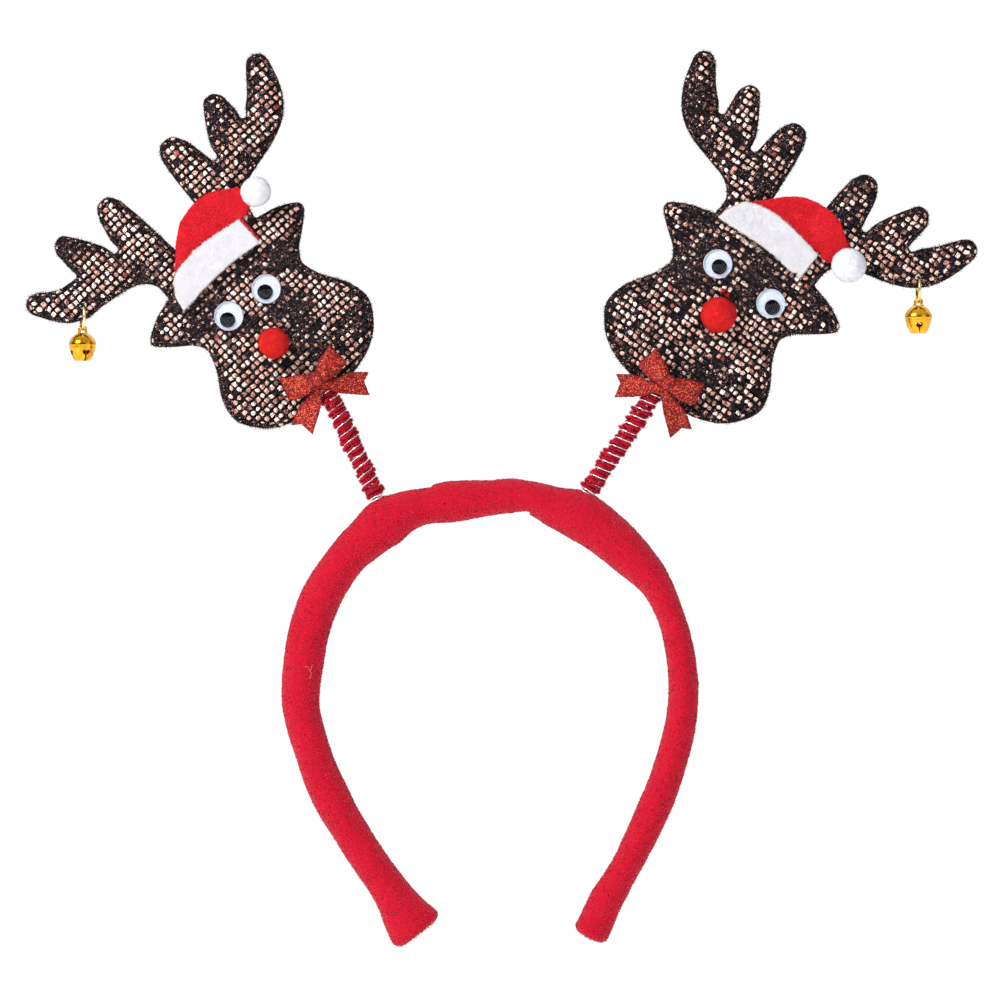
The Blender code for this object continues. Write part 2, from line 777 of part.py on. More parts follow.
def pad_middle_depth():
    """The head's middle plane lies behind the spring's axis, so the spring rests on its front."""
    return spring_reach() + GAP + puffed_half(SPRING_OVERLAP, RIM_THICKNESS, PAD_THICKNESS, PUFF_REACH)


def head_matrix(row):
    """Frame of a head: X across, Y up its face, Z out of its front, origin between the ears."""
    tilt = math.radians(row["head_tilt_deg"])
    across = Vector((math.cos(tilt), 0.0, -math.sin(tilt)))
    up = Vector((math.sin(tilt), 0.0, math.cos(tilt)))
    top = spring_matrix(row) @ Vector((0.0, 0.0, spring_length(row)))
    origin = top - across * spring_across(row) - up * (SPRING_OVERLAP - HEAD_HEIGHT)
    origin.y = pad_middle_depth()
    matrix = Matrix((across, up, Vector((0.0, -1.0, 0.0)))).transposed().to_4x4()
    return Matrix.Translation(origin) @ matrix


def hole_place(row):
    hand = 1 if row["hole_antler"] == "right_antler" else -1
    across, up = antler_place(row[row["hole_antler"]], hand,
                              row["hole_across"] * ANTLER_SPAN, row["hole_up"] * ANTLER_HEIGHT)
    return Vector((across, up, 0.0))


def make_head(row, frame, collection, materials, cutters):
    name = f"{row['side']}_head"
    mesh = pad_mesh(name, head_outline(row), FILL_STEP, RIM_THICKNESS, PAD_THICKNESS, PUFF_REACH)
    head = add_object(name, mesh, collection, materials["pad"], frame)
    cutter = add_cutter(f"{row['side']}_hole_cutter",
                        cylinder_mesh("hole", HOLE_RADIUS, 3 * PAD_THICKNESS, HOLE_SIDES),
                        cutters, frame, Matrix.Translation(hole_place(row)))
    cut_with(head, cutter)


# Hat

def pad_front():
    """Height of a head's puffed front above its middle plane, with the clearance on it."""
    return PAD_THICKNESS / 2 + GAP


def make_pompom(name, diameter, across, up, behind, frame, collection, material):
    """A pompom whose tufts stand out around the points of its ball, flat where it is glued."""
    radius = diameter / 2
    bm = bmesh.new()
    bmesh.ops.create_uvsphere(bm, u_segments=POMPOM_SIDES, v_segments=POMPOM_SIDES * 2 // 3, radius=radius)
    floor = -radius * (1 - POMPOM_SINK)
    for number, vert in enumerate(bm.verts):
        tuft = math.sin(7 * number) * POMPOM_TUFT
        vert.co *= 1 - POMPOM_TUFT + tuft
        vert.co.z = max(vert.co.z, floor)
    mesh = mesh_from_bmesh(name, bm, 60)
    place = Matrix.Translation((across, up, behind - floor))
    add_object(name, mesh, collection, material, frame, place)


def make_hat(row, frame, collection, materials):
    side = row["side"]
    base = row["hat_up"] * HEAD_HEIGHT
    crown_level = pad_front()
    cuff_level = crown_level + FELT_THICKNESS + GAP
    parts = (("hat", CROWN_ROWS, crown_level, "red_felt"), ("hat_cuff", CUFF_ROWS, cuff_level, "white_felt"))
    for part, rows, level, look in parts:
        outline = smooth_outline(scaled_rows(rows, HAT_WIDTH, HAT_HEIGHT), OUTLINE_STEP)
        plate = plate_curve(f"{side}_{part}", outline, FELT_THICKNESS)
        place = Matrix.Translation((0.0, base, level + FELT_THICKNESS / 2))
        add_object(f"{side}_{part}", plate, collection, materials[look], frame, place)
    make_pompom(f"{side}_hat_pompom", row["hat_pompom"] * POMPOM_DIAMETER, POMPOM_ACROSS * HAT_WIDTH,
                base + POMPOM_UP * HAT_HEIGHT, cuff_level, frame, collection, materials["white_pompom"])


# Face

def dome_mesh(name):
    """An open-backed clear dome, turned about Z, as a closed wall."""
    height, wall = EYE_DOME_HEIGHT, EYE_WALL
    outer, inner = [], []
    for k in range(DOME_STEPS + 1):
        turn = math.pi / 2 * k / DOME_STEPS
        outer.append((EYE_RADIUS * math.sin(turn), height * math.cos(turn)))
        inner.append(((EYE_RADIUS - wall) * math.sin(turn), (height - wall) * math.cos(turn)))
    bm = bmesh.new()
    profile = outer + list(reversed(inner))
    verts = [bm.verts.new((radius, 0.0, up)) for radius, up in profile]
    for a, b in zip(verts, verts[1:]):
        bm.edges.new((a, b))
    return mesh_from_bmesh(name, bm)


def add_screw(obj, sides):
    screw = obj.modifiers.new("turn", 'SCREW')
    screw.axis = 'Z'
    screw.steps = sides
    screw.render_steps = sides
    screw.use_merge_vertices = True
    screw.merge_threshold = 0.00005
    screw.use_smooth_shade = True


def make_eye(eye, frame, collection, materials):
    name = f"{eye['side']}_{eye['place']}_eye"
    across, up = eye["across"] * HEAD_WIDTH, eye["up"] * HEAD_HEIGHT
    base_level = pad_front()
    dome_level = base_level + EYE_BASE_THICKNESS + GAP
    base = cylinder_mesh(f"{name}_base", EYE_RADIUS, EYE_BASE_THICKNESS, EYE_SIDES)
    add_object(f"{name}_base", base, collection, materials["eye_white"], frame,
               Matrix.Translation((across, up, base_level + EYE_BASE_THICKNESS / 2)))
    room = EYE_RADIUS - EYE_WALL - PUPIL_RADIUS - 2 * GAP
    pupil = cylinder_mesh(f"{name}_pupil", PUPIL_RADIUS, PUPIL_THICKNESS, PUPIL_SIDES)
    place = (across + room * eye["pupil_across"], up + room * eye["pupil_up"], dome_level + PUPIL_THICKNESS / 2)
    add_object(f"{name}_pupil", pupil, collection, materials["eye_black"], frame, Matrix.Translation(place))
    dome = add_object(f"{name}_dome", dome_mesh(f"{name}_dome"), collection, materials["eye_clear"], frame,
                      Matrix.Translation((across, up, dome_level)))
    add_screw(dome, EYE_SIDES)


def make_nose(row, frame, collection, materials):
    make_pompom(f"{row['side']}_nose", row["nose"] * POMPOM_DIAMETER, row["nose_across"] * HEAD_WIDTH,
                row["nose_up"] * HEAD_HEIGHT, pad_front(), frame, collection, materials["red_pompom"])


# Bow

def bow_lean(level):
    """The bow is flat over the spring and leans back on both sides of it."""
    def middle(point):
        return level - BOW_LEAN_BACK * max(abs(point[0]) - spring_reach(), 0.0)
    return middle


def make_bow(row, frame, collection, materials):
    side = row["side"]
    across = spring_across(row) + row["bow_across"] * BOW_WIDTH
    up = SPRING_OVERLAP - HEAD_HEIGHT + row["bow_up"] * BOW_HEIGHT
    level = pad_middle_depth() + spring_reach() + GAP
    place = Matrix.Translation((across, up, level)) @ Matrix.Rotation(math.radians(row["bow_turn_deg"]), 4, 'Z')
    bow = add_empty(f"{side}_bow_frame", collection, place, frame)
    loop_level = BOW_TAIL_THICKNESS + GAP
    knot_level = loop_level + BOW_LOOP_THICKNESS + GAP
    layers = (("bow_tails", TAIL_ROWS, 0.0, BOW_TAIL_THICKNESS),
              ("bow_loops", LOOP_ROWS, loop_level, BOW_LOOP_THICKNESS))
    for part, rows, bottom, thickness in layers:
        outline = smooth_outline(mirrored(scaled_rows(rows, BOW_WIDTH, BOW_HEIGHT)), BOW_STEP)
        mesh = pad_mesh(f"{side}_{part}", outline, BOW_FILL_STEP, thickness * BOW_RIM_SHARE, thickness,
                        BOW_STEP, bow_lean(bottom + thickness / 2))
        add_object(f"{side}_{part}", mesh, collection, materials["glitter"], bow)
    outline = np.array([(BOW_KNOT_WIDTH / 2 * math.cos(turn), BOW_KNOT_HEIGHT / 2 * math.sin(turn))
                        for turn in np.linspace(0, 2 * math.pi, BOW_KNOT_SIDES, endpoint=False)])
    mesh = pad_mesh(f"{side}_bow_knot", outline, BOW_STEP, BOW_KNOT_THICKNESS * BOW_RIM_SHARE,
                    BOW_KNOT_THICKNESS, BOW_STEP, lambda point: knot_level + BOW_KNOT_THICKNESS / 2)
    add_object(f"{side}_bow_knot", mesh, collection, materials["glitter"], bow)


# Jump ring and bell

def make_ring(row, hang, collection, materials):
    """A jump ring whose top runs through the hole, resting on the hole's lower edge."""
    name = f"{row['side']}_ring"
    bpy.ops.mesh.primitive_torus_add(major_segments=RING_SIDES, minor_segments=RING_WIRE_SIDES,
                                     major_radius=RING_RADIUS, minor_radius=RING_WIRE_RADIUS)
    primitive = bpy.context.active_object
    mesh = primitive.data
    bpy.data.objects.remove(primitive)
    mesh.shade_smooth()
    upright = Matrix.Rotation(math.radians(90 + row["ring_turn_deg"]), 4, 'Z') @ Matrix.Rotation(
        math.pi / 2, 4, 'X')
    add_object(name, mesh, collection, materials["gold"], hang,
               Matrix.Translation((0.0, 0.0, -RING_RADIUS)) @ upright)


def bell_profile(name, inset):
    """The bell's profile at +X from its top to its bottom, inset all round."""
    bm = bmesh.new()
    half = BELL_WIDTH / 2
    verts = []
    for radius, drop in BELL_ROWS:
        across = radius * (half - inset)
        down = inset + drop * (BELL_HEIGHT - 2 * inset)
        verts.append(bm.verts.new((across, 0.0, -down)))
    for a, b in zip(verts, verts[1:]):
        bm.edges.new((a, b))
    return mesh_from_bmesh(name, bm)


def tab_mesh(name):
    """The bell's hanging loop: a flat tab with a round top and a hole."""
    data = bpy.data.curves.new(name, 'CURVE')
    data.dimensions = '2D'
    data.fill_mode = 'BOTH'
    data.extrude = TAB_THICKNESS / 2
    radius = TAB_HOLE_RADIUS + TAB_RIM
    foot = -(TAB_HEIGHT - radius) - 2 * BELL_WALL
    outer = [(radius * math.cos(turn), radius * math.sin(turn))
             for turn in np.linspace(0, math.pi, TAB_TOP_POINTS)]
    outer += [(-TAB_FOOT_SHARE * radius, foot), (TAB_FOOT_SHARE * radius, foot)]
    hole = [(TAB_HOLE_RADIUS * math.cos(turn), TAB_HOLE_RADIUS * math.sin(turn))
            for turn in np.linspace(0, 2 * math.pi, TAB_HOLE_SIDES, endpoint=False)]
    for loop in (outer, hole):
        spline = data.splines.new('POLY')
        spline.points.add(len(loop) - 1)
        for point, place in zip(spline.points, loop):
            point.co = (*place, 0.0, 1.0)
        spline.use_cyclic_u = True
    obj = bpy.data.objects.new(name, data)
    mesh = bpy.data.meshes.new_from_object(obj)
    bpy.data.objects.remove(obj)
    bm = bmesh.new()
    bm.from_mesh(mesh)
    bmesh.ops.remove_doubles(bm, verts=bm.verts, dist=1e-6)
    bpy.data.meshes.remove(mesh)
    return mesh_from_bmesh(name, bm)


def slot_mesh(name, turn_deg):
    """One of two crossed slots in the bell's bottom."""
    bm = bmesh.new()
    size = (2 * BELL_WIDTH, BELL_SLOT_WIDTH, BELL_HEIGHT * BELL_HOLE_UP * 2)
    bmesh.ops.create_cube(bm, size=1.0, matrix=Matrix.Diagonal((*size, 1.0)))
    bmesh.ops.rotate(bm, verts=bm.verts, matrix=Matrix.Rotation(math.radians(turn_deg), 3, 'Z'))
    return mesh_from_bmesh(name, bm)


def make_bell(row, hang, collection, materials, cutters):
    side = row["side"]
    tab_centre = -2 * RING_RADIUS - (TAB_HOLE_RADIUS - RING_WIRE_RADIUS - GAP)
    shell_top = tab_centre + TAB_HOLE_RADIUS + TAB_RIM - TAB_HEIGHT
    turn = Matrix.Rotation(math.radians(row["bell_turn_deg"]), 4, 'Z')
    place = Matrix.Translation((0.0, 0.0, shell_top)) @ turn
    shell = add_object(f"{side}_bell", bell_profile(f"{side}_bell", 0.0), collection, materials["gold"],
                       hang, place)
    add_screw(shell, BELL_SIDES)
    tab = add_cutter(f"{side}_tab", tab_mesh("tab"), cutters, hang,
                     Matrix.Translation((0.0, 0.0, tab_centre)) @ turn @ Matrix.Rotation(math.pi / 2, 4, 'X'))
    join_with(shell, tab)
    hollow = add_cutter(f"{side}_hollow", bell_profile("hollow", BELL_WALL), cutters, hang, place)
    add_screw(hollow, BELL_SIDES)
    cut_with(shell, hollow)
    hole_level = -BELL_HEIGHT * (1 - BELL_HOLE_UP)
    for number, angle in enumerate((0, 90)):
        slot = add_cutter(f"{side}_slot_{number}", slot_mesh("slot", angle), cutters, hang,
                          place @ Matrix.Translation((0.0, 0.0, -BELL_HEIGHT)))
        cut_with(shell, slot)
        lay = Matrix.Rotation(math.radians(angle), 4, 'Z') @ Matrix.Rotation(math.pi / 2, 4, 'X')
        drill = add_cutter(f"{side}_drill_{number}",
                           cylinder_mesh("drill", BELL_HOLE_RADIUS, 2 * BELL_WIDTH, BELL_HOLE_SIDES),
                           cutters, hang, place @ Matrix.Translation((0.0, 0.0, hole_level)) @ lay)
        cut_with(shell, drill)
    bm = bmesh.new()
    bmesh.ops.create_icosphere(bm, subdivisions=1, radius=PELLET_RADIUS)
    floor = shell_top - BELL_HEIGHT + BELL_WALL + GAP
    add_object(f"{side}_bell_pellet", mesh_from_bmesh("pellet", bm, 60), collection, materials["gold"],
               hang, Matrix.Translation((0.0, 0.0, floor + PELLET_RADIUS)))


def hang_matrix(row):
    """Upright frame at the middle of the ring's wire in the hole, whatever the head's tilt.

    The ring rests on the hole's lower edge at the pad's two faces, where it has bent down.
    """
    place = hole_place(row)
    distance = edge_distance(head_outline(row), np.array(place.xy))
    half = puffed_half(distance, RIM_THICKNESS, PAD_THICKNESS, PUFF_REACH)
    bend = RING_RADIUS - math.sqrt(RING_RADIUS ** 2 - half ** 2)
    hole = head_matrix(row) @ place
    hole.z -= HOLE_RADIUS * math.cos(math.pi / HOLE_SIDES) - RING_WIRE_RADIUS - GAP - bend
    return Matrix.Translation(hole)


def make_reindeer(row, collection, cutters, materials, hoop):
    make_spring(row, collection, materials, cutters, hoop)
    frame = add_empty(f"{row['side']}_head_frame", collection, head_matrix(row))
    make_head(row, frame, collection, materials, cutters)
    make_hat(row, frame, collection, materials)
    for eye in EYES:
        if eye["side"] == row["side"]:
            make_eye(eye, frame, collection, materials)
    make_nose(row, frame, collection, materials)
    make_bow(row, frame, collection, materials)
    hang = add_empty(f"{row['side']}_hang_frame", collection, hang_matrix(row))
    make_ring(row, hang, collection, materials)
    make_bell(row, hang, collection, materials, cutters)


def main():
    clear_scene()
    parts = new_collection(PARTS)
    cutters = new_collection(CUTTERS)
    materials = make_materials()
    hoop = make_hoop(parts, materials["fleece"])
    for row in REINDEER:
        make_reindeer(row, parts, cutters, materials, hoop)


main()
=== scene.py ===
import itertools
import math

import bmesh
import bpy
import numpy as np
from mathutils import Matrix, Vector, geometry


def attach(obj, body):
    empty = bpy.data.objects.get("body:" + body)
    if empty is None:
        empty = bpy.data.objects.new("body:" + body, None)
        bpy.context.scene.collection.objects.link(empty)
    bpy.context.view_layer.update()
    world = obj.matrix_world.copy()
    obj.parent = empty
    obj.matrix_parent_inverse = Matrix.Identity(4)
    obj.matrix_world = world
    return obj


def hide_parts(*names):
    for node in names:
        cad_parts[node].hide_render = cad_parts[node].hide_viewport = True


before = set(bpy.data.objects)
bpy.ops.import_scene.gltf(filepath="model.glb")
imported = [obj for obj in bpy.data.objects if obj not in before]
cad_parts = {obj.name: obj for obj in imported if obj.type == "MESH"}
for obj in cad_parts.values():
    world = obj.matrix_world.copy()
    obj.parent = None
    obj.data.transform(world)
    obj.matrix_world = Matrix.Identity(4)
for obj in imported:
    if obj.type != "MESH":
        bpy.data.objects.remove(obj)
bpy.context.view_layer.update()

# Headband with two padded reindeer on springs. Metres, +Z up, the fronts face -Y.

SEED = 11
# Added to the seed for each kind of piece
HEAD_SEED = 10
FELT_SEED = 20
BOW_SEED = 30
HAT_POMPOM_SEED = 100
NOSE_SEED = 120
GAP = 0.0003
NOTHING = 1e-12

# Camera and studio
CAMERA_PLACE = (0.00333, -2.0, 0.005)
CAMERA_VIEW_WIDTH = 0.3333
CAMERA_CLIPS = (0.05, 50)
SENSOR_WIDTH = 0.036
FLOOR_LEVEL = -0.35

# Hoop, as in the part's source: angles about the arch's centre, and shares of these three sizes
ARCH_RADIUS = 0.065
HOOP_THICKNESS = 0.0125
HOOP_DEPTH = 0.0155
HOOP_ROWS = (
    # angle, radius, thickness, depth
    (-66, 1.291, 0.93, 0.84),
    (-60, 1.187, 0.86, 0.84),
    (-54, 1.126, 0.78, 0.86),
    (-45, 1.059, 0.79, 0.88),
    (-33, 1.007, 0.84, 0.90),
    (-18, 0.982, 0.80, 0.88),
    (0, 0.990, 0.755, 0.86),
    (15, 1.005, 0.74, 0.86),
    (27, 1.026, 0.71, 0.88),
    (36, 1.037, 0.84, 0.94),
    (44, 1.032, 1.04, 1.00),
    (54, 1.038, 1.19, 1.05),
    (64, 1.051, 1.28, 1.08),
    (71, 1.046, 1.04, 1.04),
    (78, 1.064, 0.77, 0.98),
    (84, 1.052, 0.87, 0.98),
    (90, 1.036, 0.91, 1.00),
    (97, 1.031, 1.00, 1.00),
    (102, 1.037, 1.05, 1.00),
    (108, 1.049, 0.95, 1.00),
    (114, 1.059, 1.08, 1.05),
    (120, 1.056, 1.30, 1.08),
    (127, 1.043, 1.13, 1.06),
    (134, 1.036, 1.00, 1.00),
    (150, 1.010, 1.04, 1.00),
    (168, 0.976, 1.04, 1.00),
    (182, 0.967, 0.96, 0.96),
    (198, 0.946, 0.93, 0.92),
    (212, 0.955, 0.97, 0.92),
    (222, 0.977, 0.92, 0.88),
    (231, 1.017, 0.92, 0.88),
    (239, 1.071, 0.91, 0.88),
    (245, 1.135, 1.04, 0.92),
    (251.5, 1.226, 1.42, 1.00),
)

# How the heads and springs are turned about Y
TILT_DEG = {"left": -43.0, "right": 36.0}
LEAN_DEG = {"left": -24.9, "right": 34.0}
RING_TURN_DEG = {"left": 12.0, "right": 3.0}
BELL_TURN_DEG = {"left": 22.0, "right": 0.0}
SIDES = ("left", "right")

# Spring and yarn
COIL_RADIUS = 0.00235
WIRE_RADIUS = 0.0003
WIRE_LOOK_OUT = 0.0001
COIL_PITCH = 0.003
CLOSE_PITCH = 0.001
CLOSE_TURNS = 3.0

# Pads
RIM_THICKNESS = 0.0016
PAD_THICKNESS = 0.0055
PUFF_REACH = 0.009
RIM_EDGE_HALF = 0.00035
RIM_ROUNDING = 0.0006
SEAM_INSET = 0.0017
SEAM_DEPTH = 0.00028
SEAM_WIDTH = 0.00035

# Grid on which the distance to a head's outline is kept
FIELD_CELL = 0.0006
FIELD_MARGIN = 0.004

# Sequins in rows along the head's own axes
DOT_PITCH_ACROSS = 0.00203
DOT_PITCH_UP = 0.00225
DOT_HALF = 0.00084
DOT_SIDES = 8
DOT_RISE = 0.00014
DOT_LIFT = 0.0001
DOT_STRAY = {"left": 0.00013, "right": 0.00025}
DOT_CHANCE = {"left": 0.95, "right": 0.87}
DOT_EDGE_ROOM = 0.00045
HOLE_ROOM = 0.0016
RIM_BAND = 0.0022
BARE_SEED = {1: 40, -1: 60}
# Where few sequins show on each head: place across and up in the world, and reach
BARE_PATCHES = {
    "left": ((-0.0693, 0.0863, 0.0060), (-0.0640, 0.0690, 0.0048), (-0.0717, 0.0677, 0.0035)),
    "right": ((0.0917, 0.0817, 0.0085), (0.0710, 0.0990, 0.0055), (0.0850, 0.0717, 0.0042),
              (0.1083, 0.0717, 0.0040)),
}

# Bow
BOW_STEP = 0.0022
BOW_LEAN_BACK = 0.42
BOW_FLAT_HALF = 0.0034

# Bell, ring and eyes
RING_RADIUS = 0.0041
RING_WIRE_RADIUS = 0.0005
BELL_WIDTH = 0.0092
BELL_HEIGHT = 0.0094
BELL_WALL = 0.0005
BELL_HOLE_UP = 0.29
BELL_SIDES = 64
BELL_ROWS = (
    # radius, drop
    (0.00, 0.00),
    (0.22, 0.005),
    (0.42, 0.03),
    (0.62, 0.09),
    (0.79, 0.175),
    (0.91, 0.265),
    (0.98, 0.35),
    (1.00, 0.41),
    (0.995, 0.435),
    (0.965, 0.455),
    (0.955, 0.485),
    (0.93, 0.57),
    (0.84, 0.72),
    (0.72, 0.86),
    (0.58, 0.965),
    (0.44, 1.00),
    (0.00, 1.00),
)
EYE_RADIUS = 0.0049
EYE_WALL = 0.0004
EYE_DOME_HEIGHT = 0.0026
ROUND_SIDES = 64


# Frames turned about Y

def axes(turn_deg):
    """Across, up and out of the front, in a frame turned about Y."""
    turn = math.radians(turn_deg)
    across = (math.cos(turn), 0.0, -math.sin(turn))
    up = (math.sin(turn), 0.0, math.cos(turn))
    return np.array((across, up, (0.0, -1.0, 0.0)))


def to_local(points, turn_deg):
    return np.asarray(points) @ axes(turn_deg).T


def to_world(points, turn_deg):
    return np.asarray(points) @ axes(turn_deg)


def node_points(name):
    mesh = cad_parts[name].data
    points = np.empty(len(mesh.vertices) * 3)
    mesh.vertices.foreach_get("co", points)
    return points.reshape(-1, 3)


def node_box(name, turn_deg=0.0):
    local = to_local(node_points(name), turn_deg)
    return local.min(0), local.max(0)


def unit(vectors):
    return vectors / np.maximum(np.linalg.norm(vectors, axis=-1, keepdims=True), NOTHING)


def flattened(vectors, normals):
    """Unit vectors laid square to the normals."""
    return unit(vectors - normals * (vectors * normals).sum(1, keepdims=True))


def at_level(flat, level):
    """Points of a plane set at one level, or each at a level of its own."""
    return np.column_stack((flat, np.broadcast_to(level, len(flat))))


# Noise

NOISE_CELLS = 32


def noise(points, cell, seed):
    """Smooth noise from -1 to 1 with cells of the given size."""
    table = np.random.default_rng(seed).uniform(-1, 1, (NOISE_CELLS,) * 3)
    place = np.asarray(points) / cell
    corner = np.floor(place).astype(int)
    part = place - corner
    part = part * part * (3 - 2 * part)
    total = np.zeros(len(place))
    for shift in itertools.product((0, 1), repeat=3):
        weight = np.prod(np.where(shift, part, 1 - part), axis=1)
        i, j, k = ((corner + shift) % NOISE_CELLS).T
        total += weight * table[i, j, k]
    return total


def waves(points, *rows):
    """Noise of several sizes added up, from rows of a height, a cell and a seed."""
    return sum(height * noise(points, cell, seed) for height, cell, seed in rows)


def drift(points, cell, seed):
    """Smooth noise that is a vector at each point."""
    return np.stack([noise(points, cell, seed + k) for k in range(3)], 1)


def uneven(limits, shape, count, rng):
    """Random numbers between limits, drawn from a beta distribution of the given shape."""
    low, high = limits
    return low + (high - low) * rng.beta(*shape, count)


# Pieces

class Pile:
    """Points and triangles of a piece, with two numbers at each point for its materials."""

    def __init__(self):
        self.points = []
        self.faces = []
        self.tones = []
        self.blends = []
        self.normals = []
        self.total = 0

    def add(self, points, faces, tone=0.5, blend=0.0, normals=None):
        points = np.asarray(points, dtype=float).reshape(-1, 3)
        self.points.append(points)
        self.faces.append(np.asarray(faces, dtype=int).reshape(-1, 3) + self.total)
        self.tones.append(np.broadcast_to(np.asarray(tone, dtype=float), len(points)))
        self.blends.append(np.broadcast_to(np.asarray(blend, dtype=float), len(points)))
        self.normals.append(np.zeros((len(points), 3)) if normals is None else normals)
        self.total += len(points)

    def all_points(self):
        return np.concatenate(self.points)

    def all_faces(self):
        return np.concatenate(self.faces)

    def scatter(self, count, rng):
        """Random places on its triangles, with the triangles' normals."""
        points, faces = self.all_points(), self.all_faces()
        a, b, c = (points[faces[:, k]] for k in range(3))
        cross = np.cross(b - a, c - a)
        area = np.linalg.norm(cross, axis=1)
        pick = rng.choice(len(faces), count, p=area / area.sum())
        share = np.sqrt(rng.random((count, 1)))
        other = rng.random((count, 1))
        place = (1 - share) * a[pick] + share * (1 - other) * b[pick] + share * other * c[pick]
        return place, unit(cross[pick])


MERGE_DISTANCE = 1e-6
LEAST_EDGE = 1e-7


def new_object(name, data):
    obj = bpy.data.objects.new(name, data)
    bpy.context.scene.collection.objects.link(obj)
    return obj


def tell_frame(obj, replaces):
    """The body that a piece rides on and the nodes that it replaces."""
    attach(obj, "root")
    if replaces:
        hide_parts(*replaces)


def clean_mesh(mesh, distance, outward=False):
    """Joins points that meet and drops faces without area."""
    bm = bmesh.new()
    bm.from_mesh(mesh)
    bmesh.ops.remove_doubles(bm, verts=bm.verts, dist=distance)
    bmesh.ops.dissolve_degenerate(bm, edges=bm.edges, dist=LEAST_EDGE)
    if outward:
        bmesh.ops.recalc_face_normals(bm, faces=bm.faces)
    bm.to_mesh(mesh)
    bm.free()


def make_piece(name, pile, material, replaces=(), merge=False):
    points, faces = pile.all_points(), pile.all_faces()
    mesh = bpy.data.meshes.new(name)
    mesh.vertices.add(len(points))
    mesh.vertices.foreach_set("co", points.ravel())
    mesh.loops.add(faces.size)
    mesh.loops.foreach_set("vertex_index", faces.ravel())
    mesh.polygons.add(len(faces))
    mesh.polygons.foreach_set("loop_start", np.arange(0, faces.size, 3))
    mesh.update(calc_edges=True)
    for label, values in (("tone", pile.tones), ("blend", pile.blends)):
        attribute = mesh.attributes.new(label, 'FLOAT', 'POINT')
        attribute.data.foreach_set("value", np.concatenate(values))
    if merge:
        clean_mesh(mesh, MERGE_DISTANCE)
    mesh.shade_smooth()
    normals = np.concatenate(pile.normals)
    if not merge and normals.any():
        mesh.normals_split_custom_set_from_vertices(normals)
    mesh.materials.append(material)
    obj = new_object(name, mesh)
    tell_frame(obj, replaces)
    return obj


def copies(faces, count, each):
    """The triangles of one small shape, for many such shapes with this many points each."""
    return (np.asarray(faces)[None] + (np.arange(count) * each)[:, None, None]).reshape(-1, 3)


def grid_faces(rows, columns, wrap):
    """Triangles over a grid of points, whose columns may join up in a ring."""
    faces = []
    last = columns if wrap else columns - 1
    for i in range(rows - 1):
        for k in range(last):
            n = (k + 1) % columns
            a, b, c, d = i * columns + k, i * columns + n, (i + 1) * columns + n, (i + 1) * columns + k
            faces += [(a, b, c), (a, c, d)]
    return np.array(faces)


def fan_faces(count):
    """Triangles from point 0 to a ring of the points after it."""
    return np.array([(0, 1 + k, 1 + (k + 1) % count) for k in range(count)])


def add_tube(pile, path, normals, radius, sides, tone=0.5, closed=False):
    """A tube along a path; normals are roughly square to it, and radius may change along it."""
    path = np.asarray(path)
    along = np.roll(path, -1, axis=0) - np.roll(path, 1, axis=0) if closed else np.gradient(path, axis=0)
    along = unit(along)
    second = unit(np.cross(along, normals))
    first = np.cross(second, along)
    turn = np.linspace(0, 2 * math.pi, sides, endpoint=False)
    radius = np.broadcast_to(radius, len(path))[:, None, None]
    ring = first[:, None] * np.cos(turn)[None, :, None] + second[:, None] * np.sin(turn)[None, :, None]
    points = path[:, None] + ring * radius
    rows = len(path)
    if closed:
        points = np.concatenate((points, points[:1]))
        rows += 1
    tones = np.repeat(np.broadcast_to(tone, len(path)), sides)
    if closed:
        tones = np.concatenate((tones, tones[:sides]))
    pile.add(points, grid_faces(rows, sides, True), tones)
    if not closed:
        for end, order in ((0, 1), (rows - 1, -1)):
            cap = fan_faces(sides)[:, ::order]
            pile.add(np.vstack((path[end], points[end])), cap, tones[end * sides])


FIBRE_TWIST = 0.12


def add_fibres(pile, roots, ways, lengths, width, tones, rng, outward):
    """A thin pointed blade at each root, lit as the surface that it grows from.

    Blend runs from 0 at its root to 1 at its tip; the fibre materials use it for painted shade at the root.
    """
    count = len(roots)
    side = unit(np.cross(ways, outward + rng.normal(size=ways.shape) * FIBRE_TWIST)) * (width / 2)
    faces_out = (np.cross(side, ways) * outward).sum(1, keepdims=True) > 0
    side = np.where(faces_out, side, -side)
    lengths = np.broadcast_to(lengths, count)[:, None]
    points = np.stack((roots - side, roots + side, roots + ways * lengths), axis=1)
    pile.add(points, np.arange(3 * count).reshape(-1, 3), np.repeat(np.broadcast_to(tones, count), 3),
             np.tile((0.0, 0.0, 1.0), count), np.repeat(outward, 3, axis=0))


SPIKE_FACING = 0.9
SPIKE_TURNS = (0.0, 2.094, 4.189)
SPIKE_FACES = ((0, 1, 3), (1, 2, 3), (2, 0, 3))


def add_spikes(pile, roots, ways, lengths, width, tones, rng, outward):
    """Three-sided fibres that stand up, lit by the surface they grow from and by their own sides."""
    count = len(roots)
    first = unit(np.cross(ways, rng.normal(size=ways.shape))) * (width / 2)
    second = np.cross(ways, first)
    lengths = np.broadcast_to(lengths, count)[:, None]
    spokes = [first * math.cos(a) + second * math.sin(a) for a in SPIKE_TURNS]
    points = np.stack([roots + spoke for spoke in spokes] + [roots + ways * lengths], axis=1)
    facing = np.stack([unit(outward + unit(spoke) * SPIKE_FACING) for spoke in spokes] + [outward], axis=1)
    # Blend is 0 at the base and 1 at the tip, for the painted shade at the root
    pile.add(points, copies(SPIKE_FACES, count, 4), np.repeat(np.broadcast_to(tones, count), 4),
             np.tile((0.0, 0.0, 0.0, 1.0), count), facing.reshape(-1, 3))


LEAST_RADIUS = 1e-8


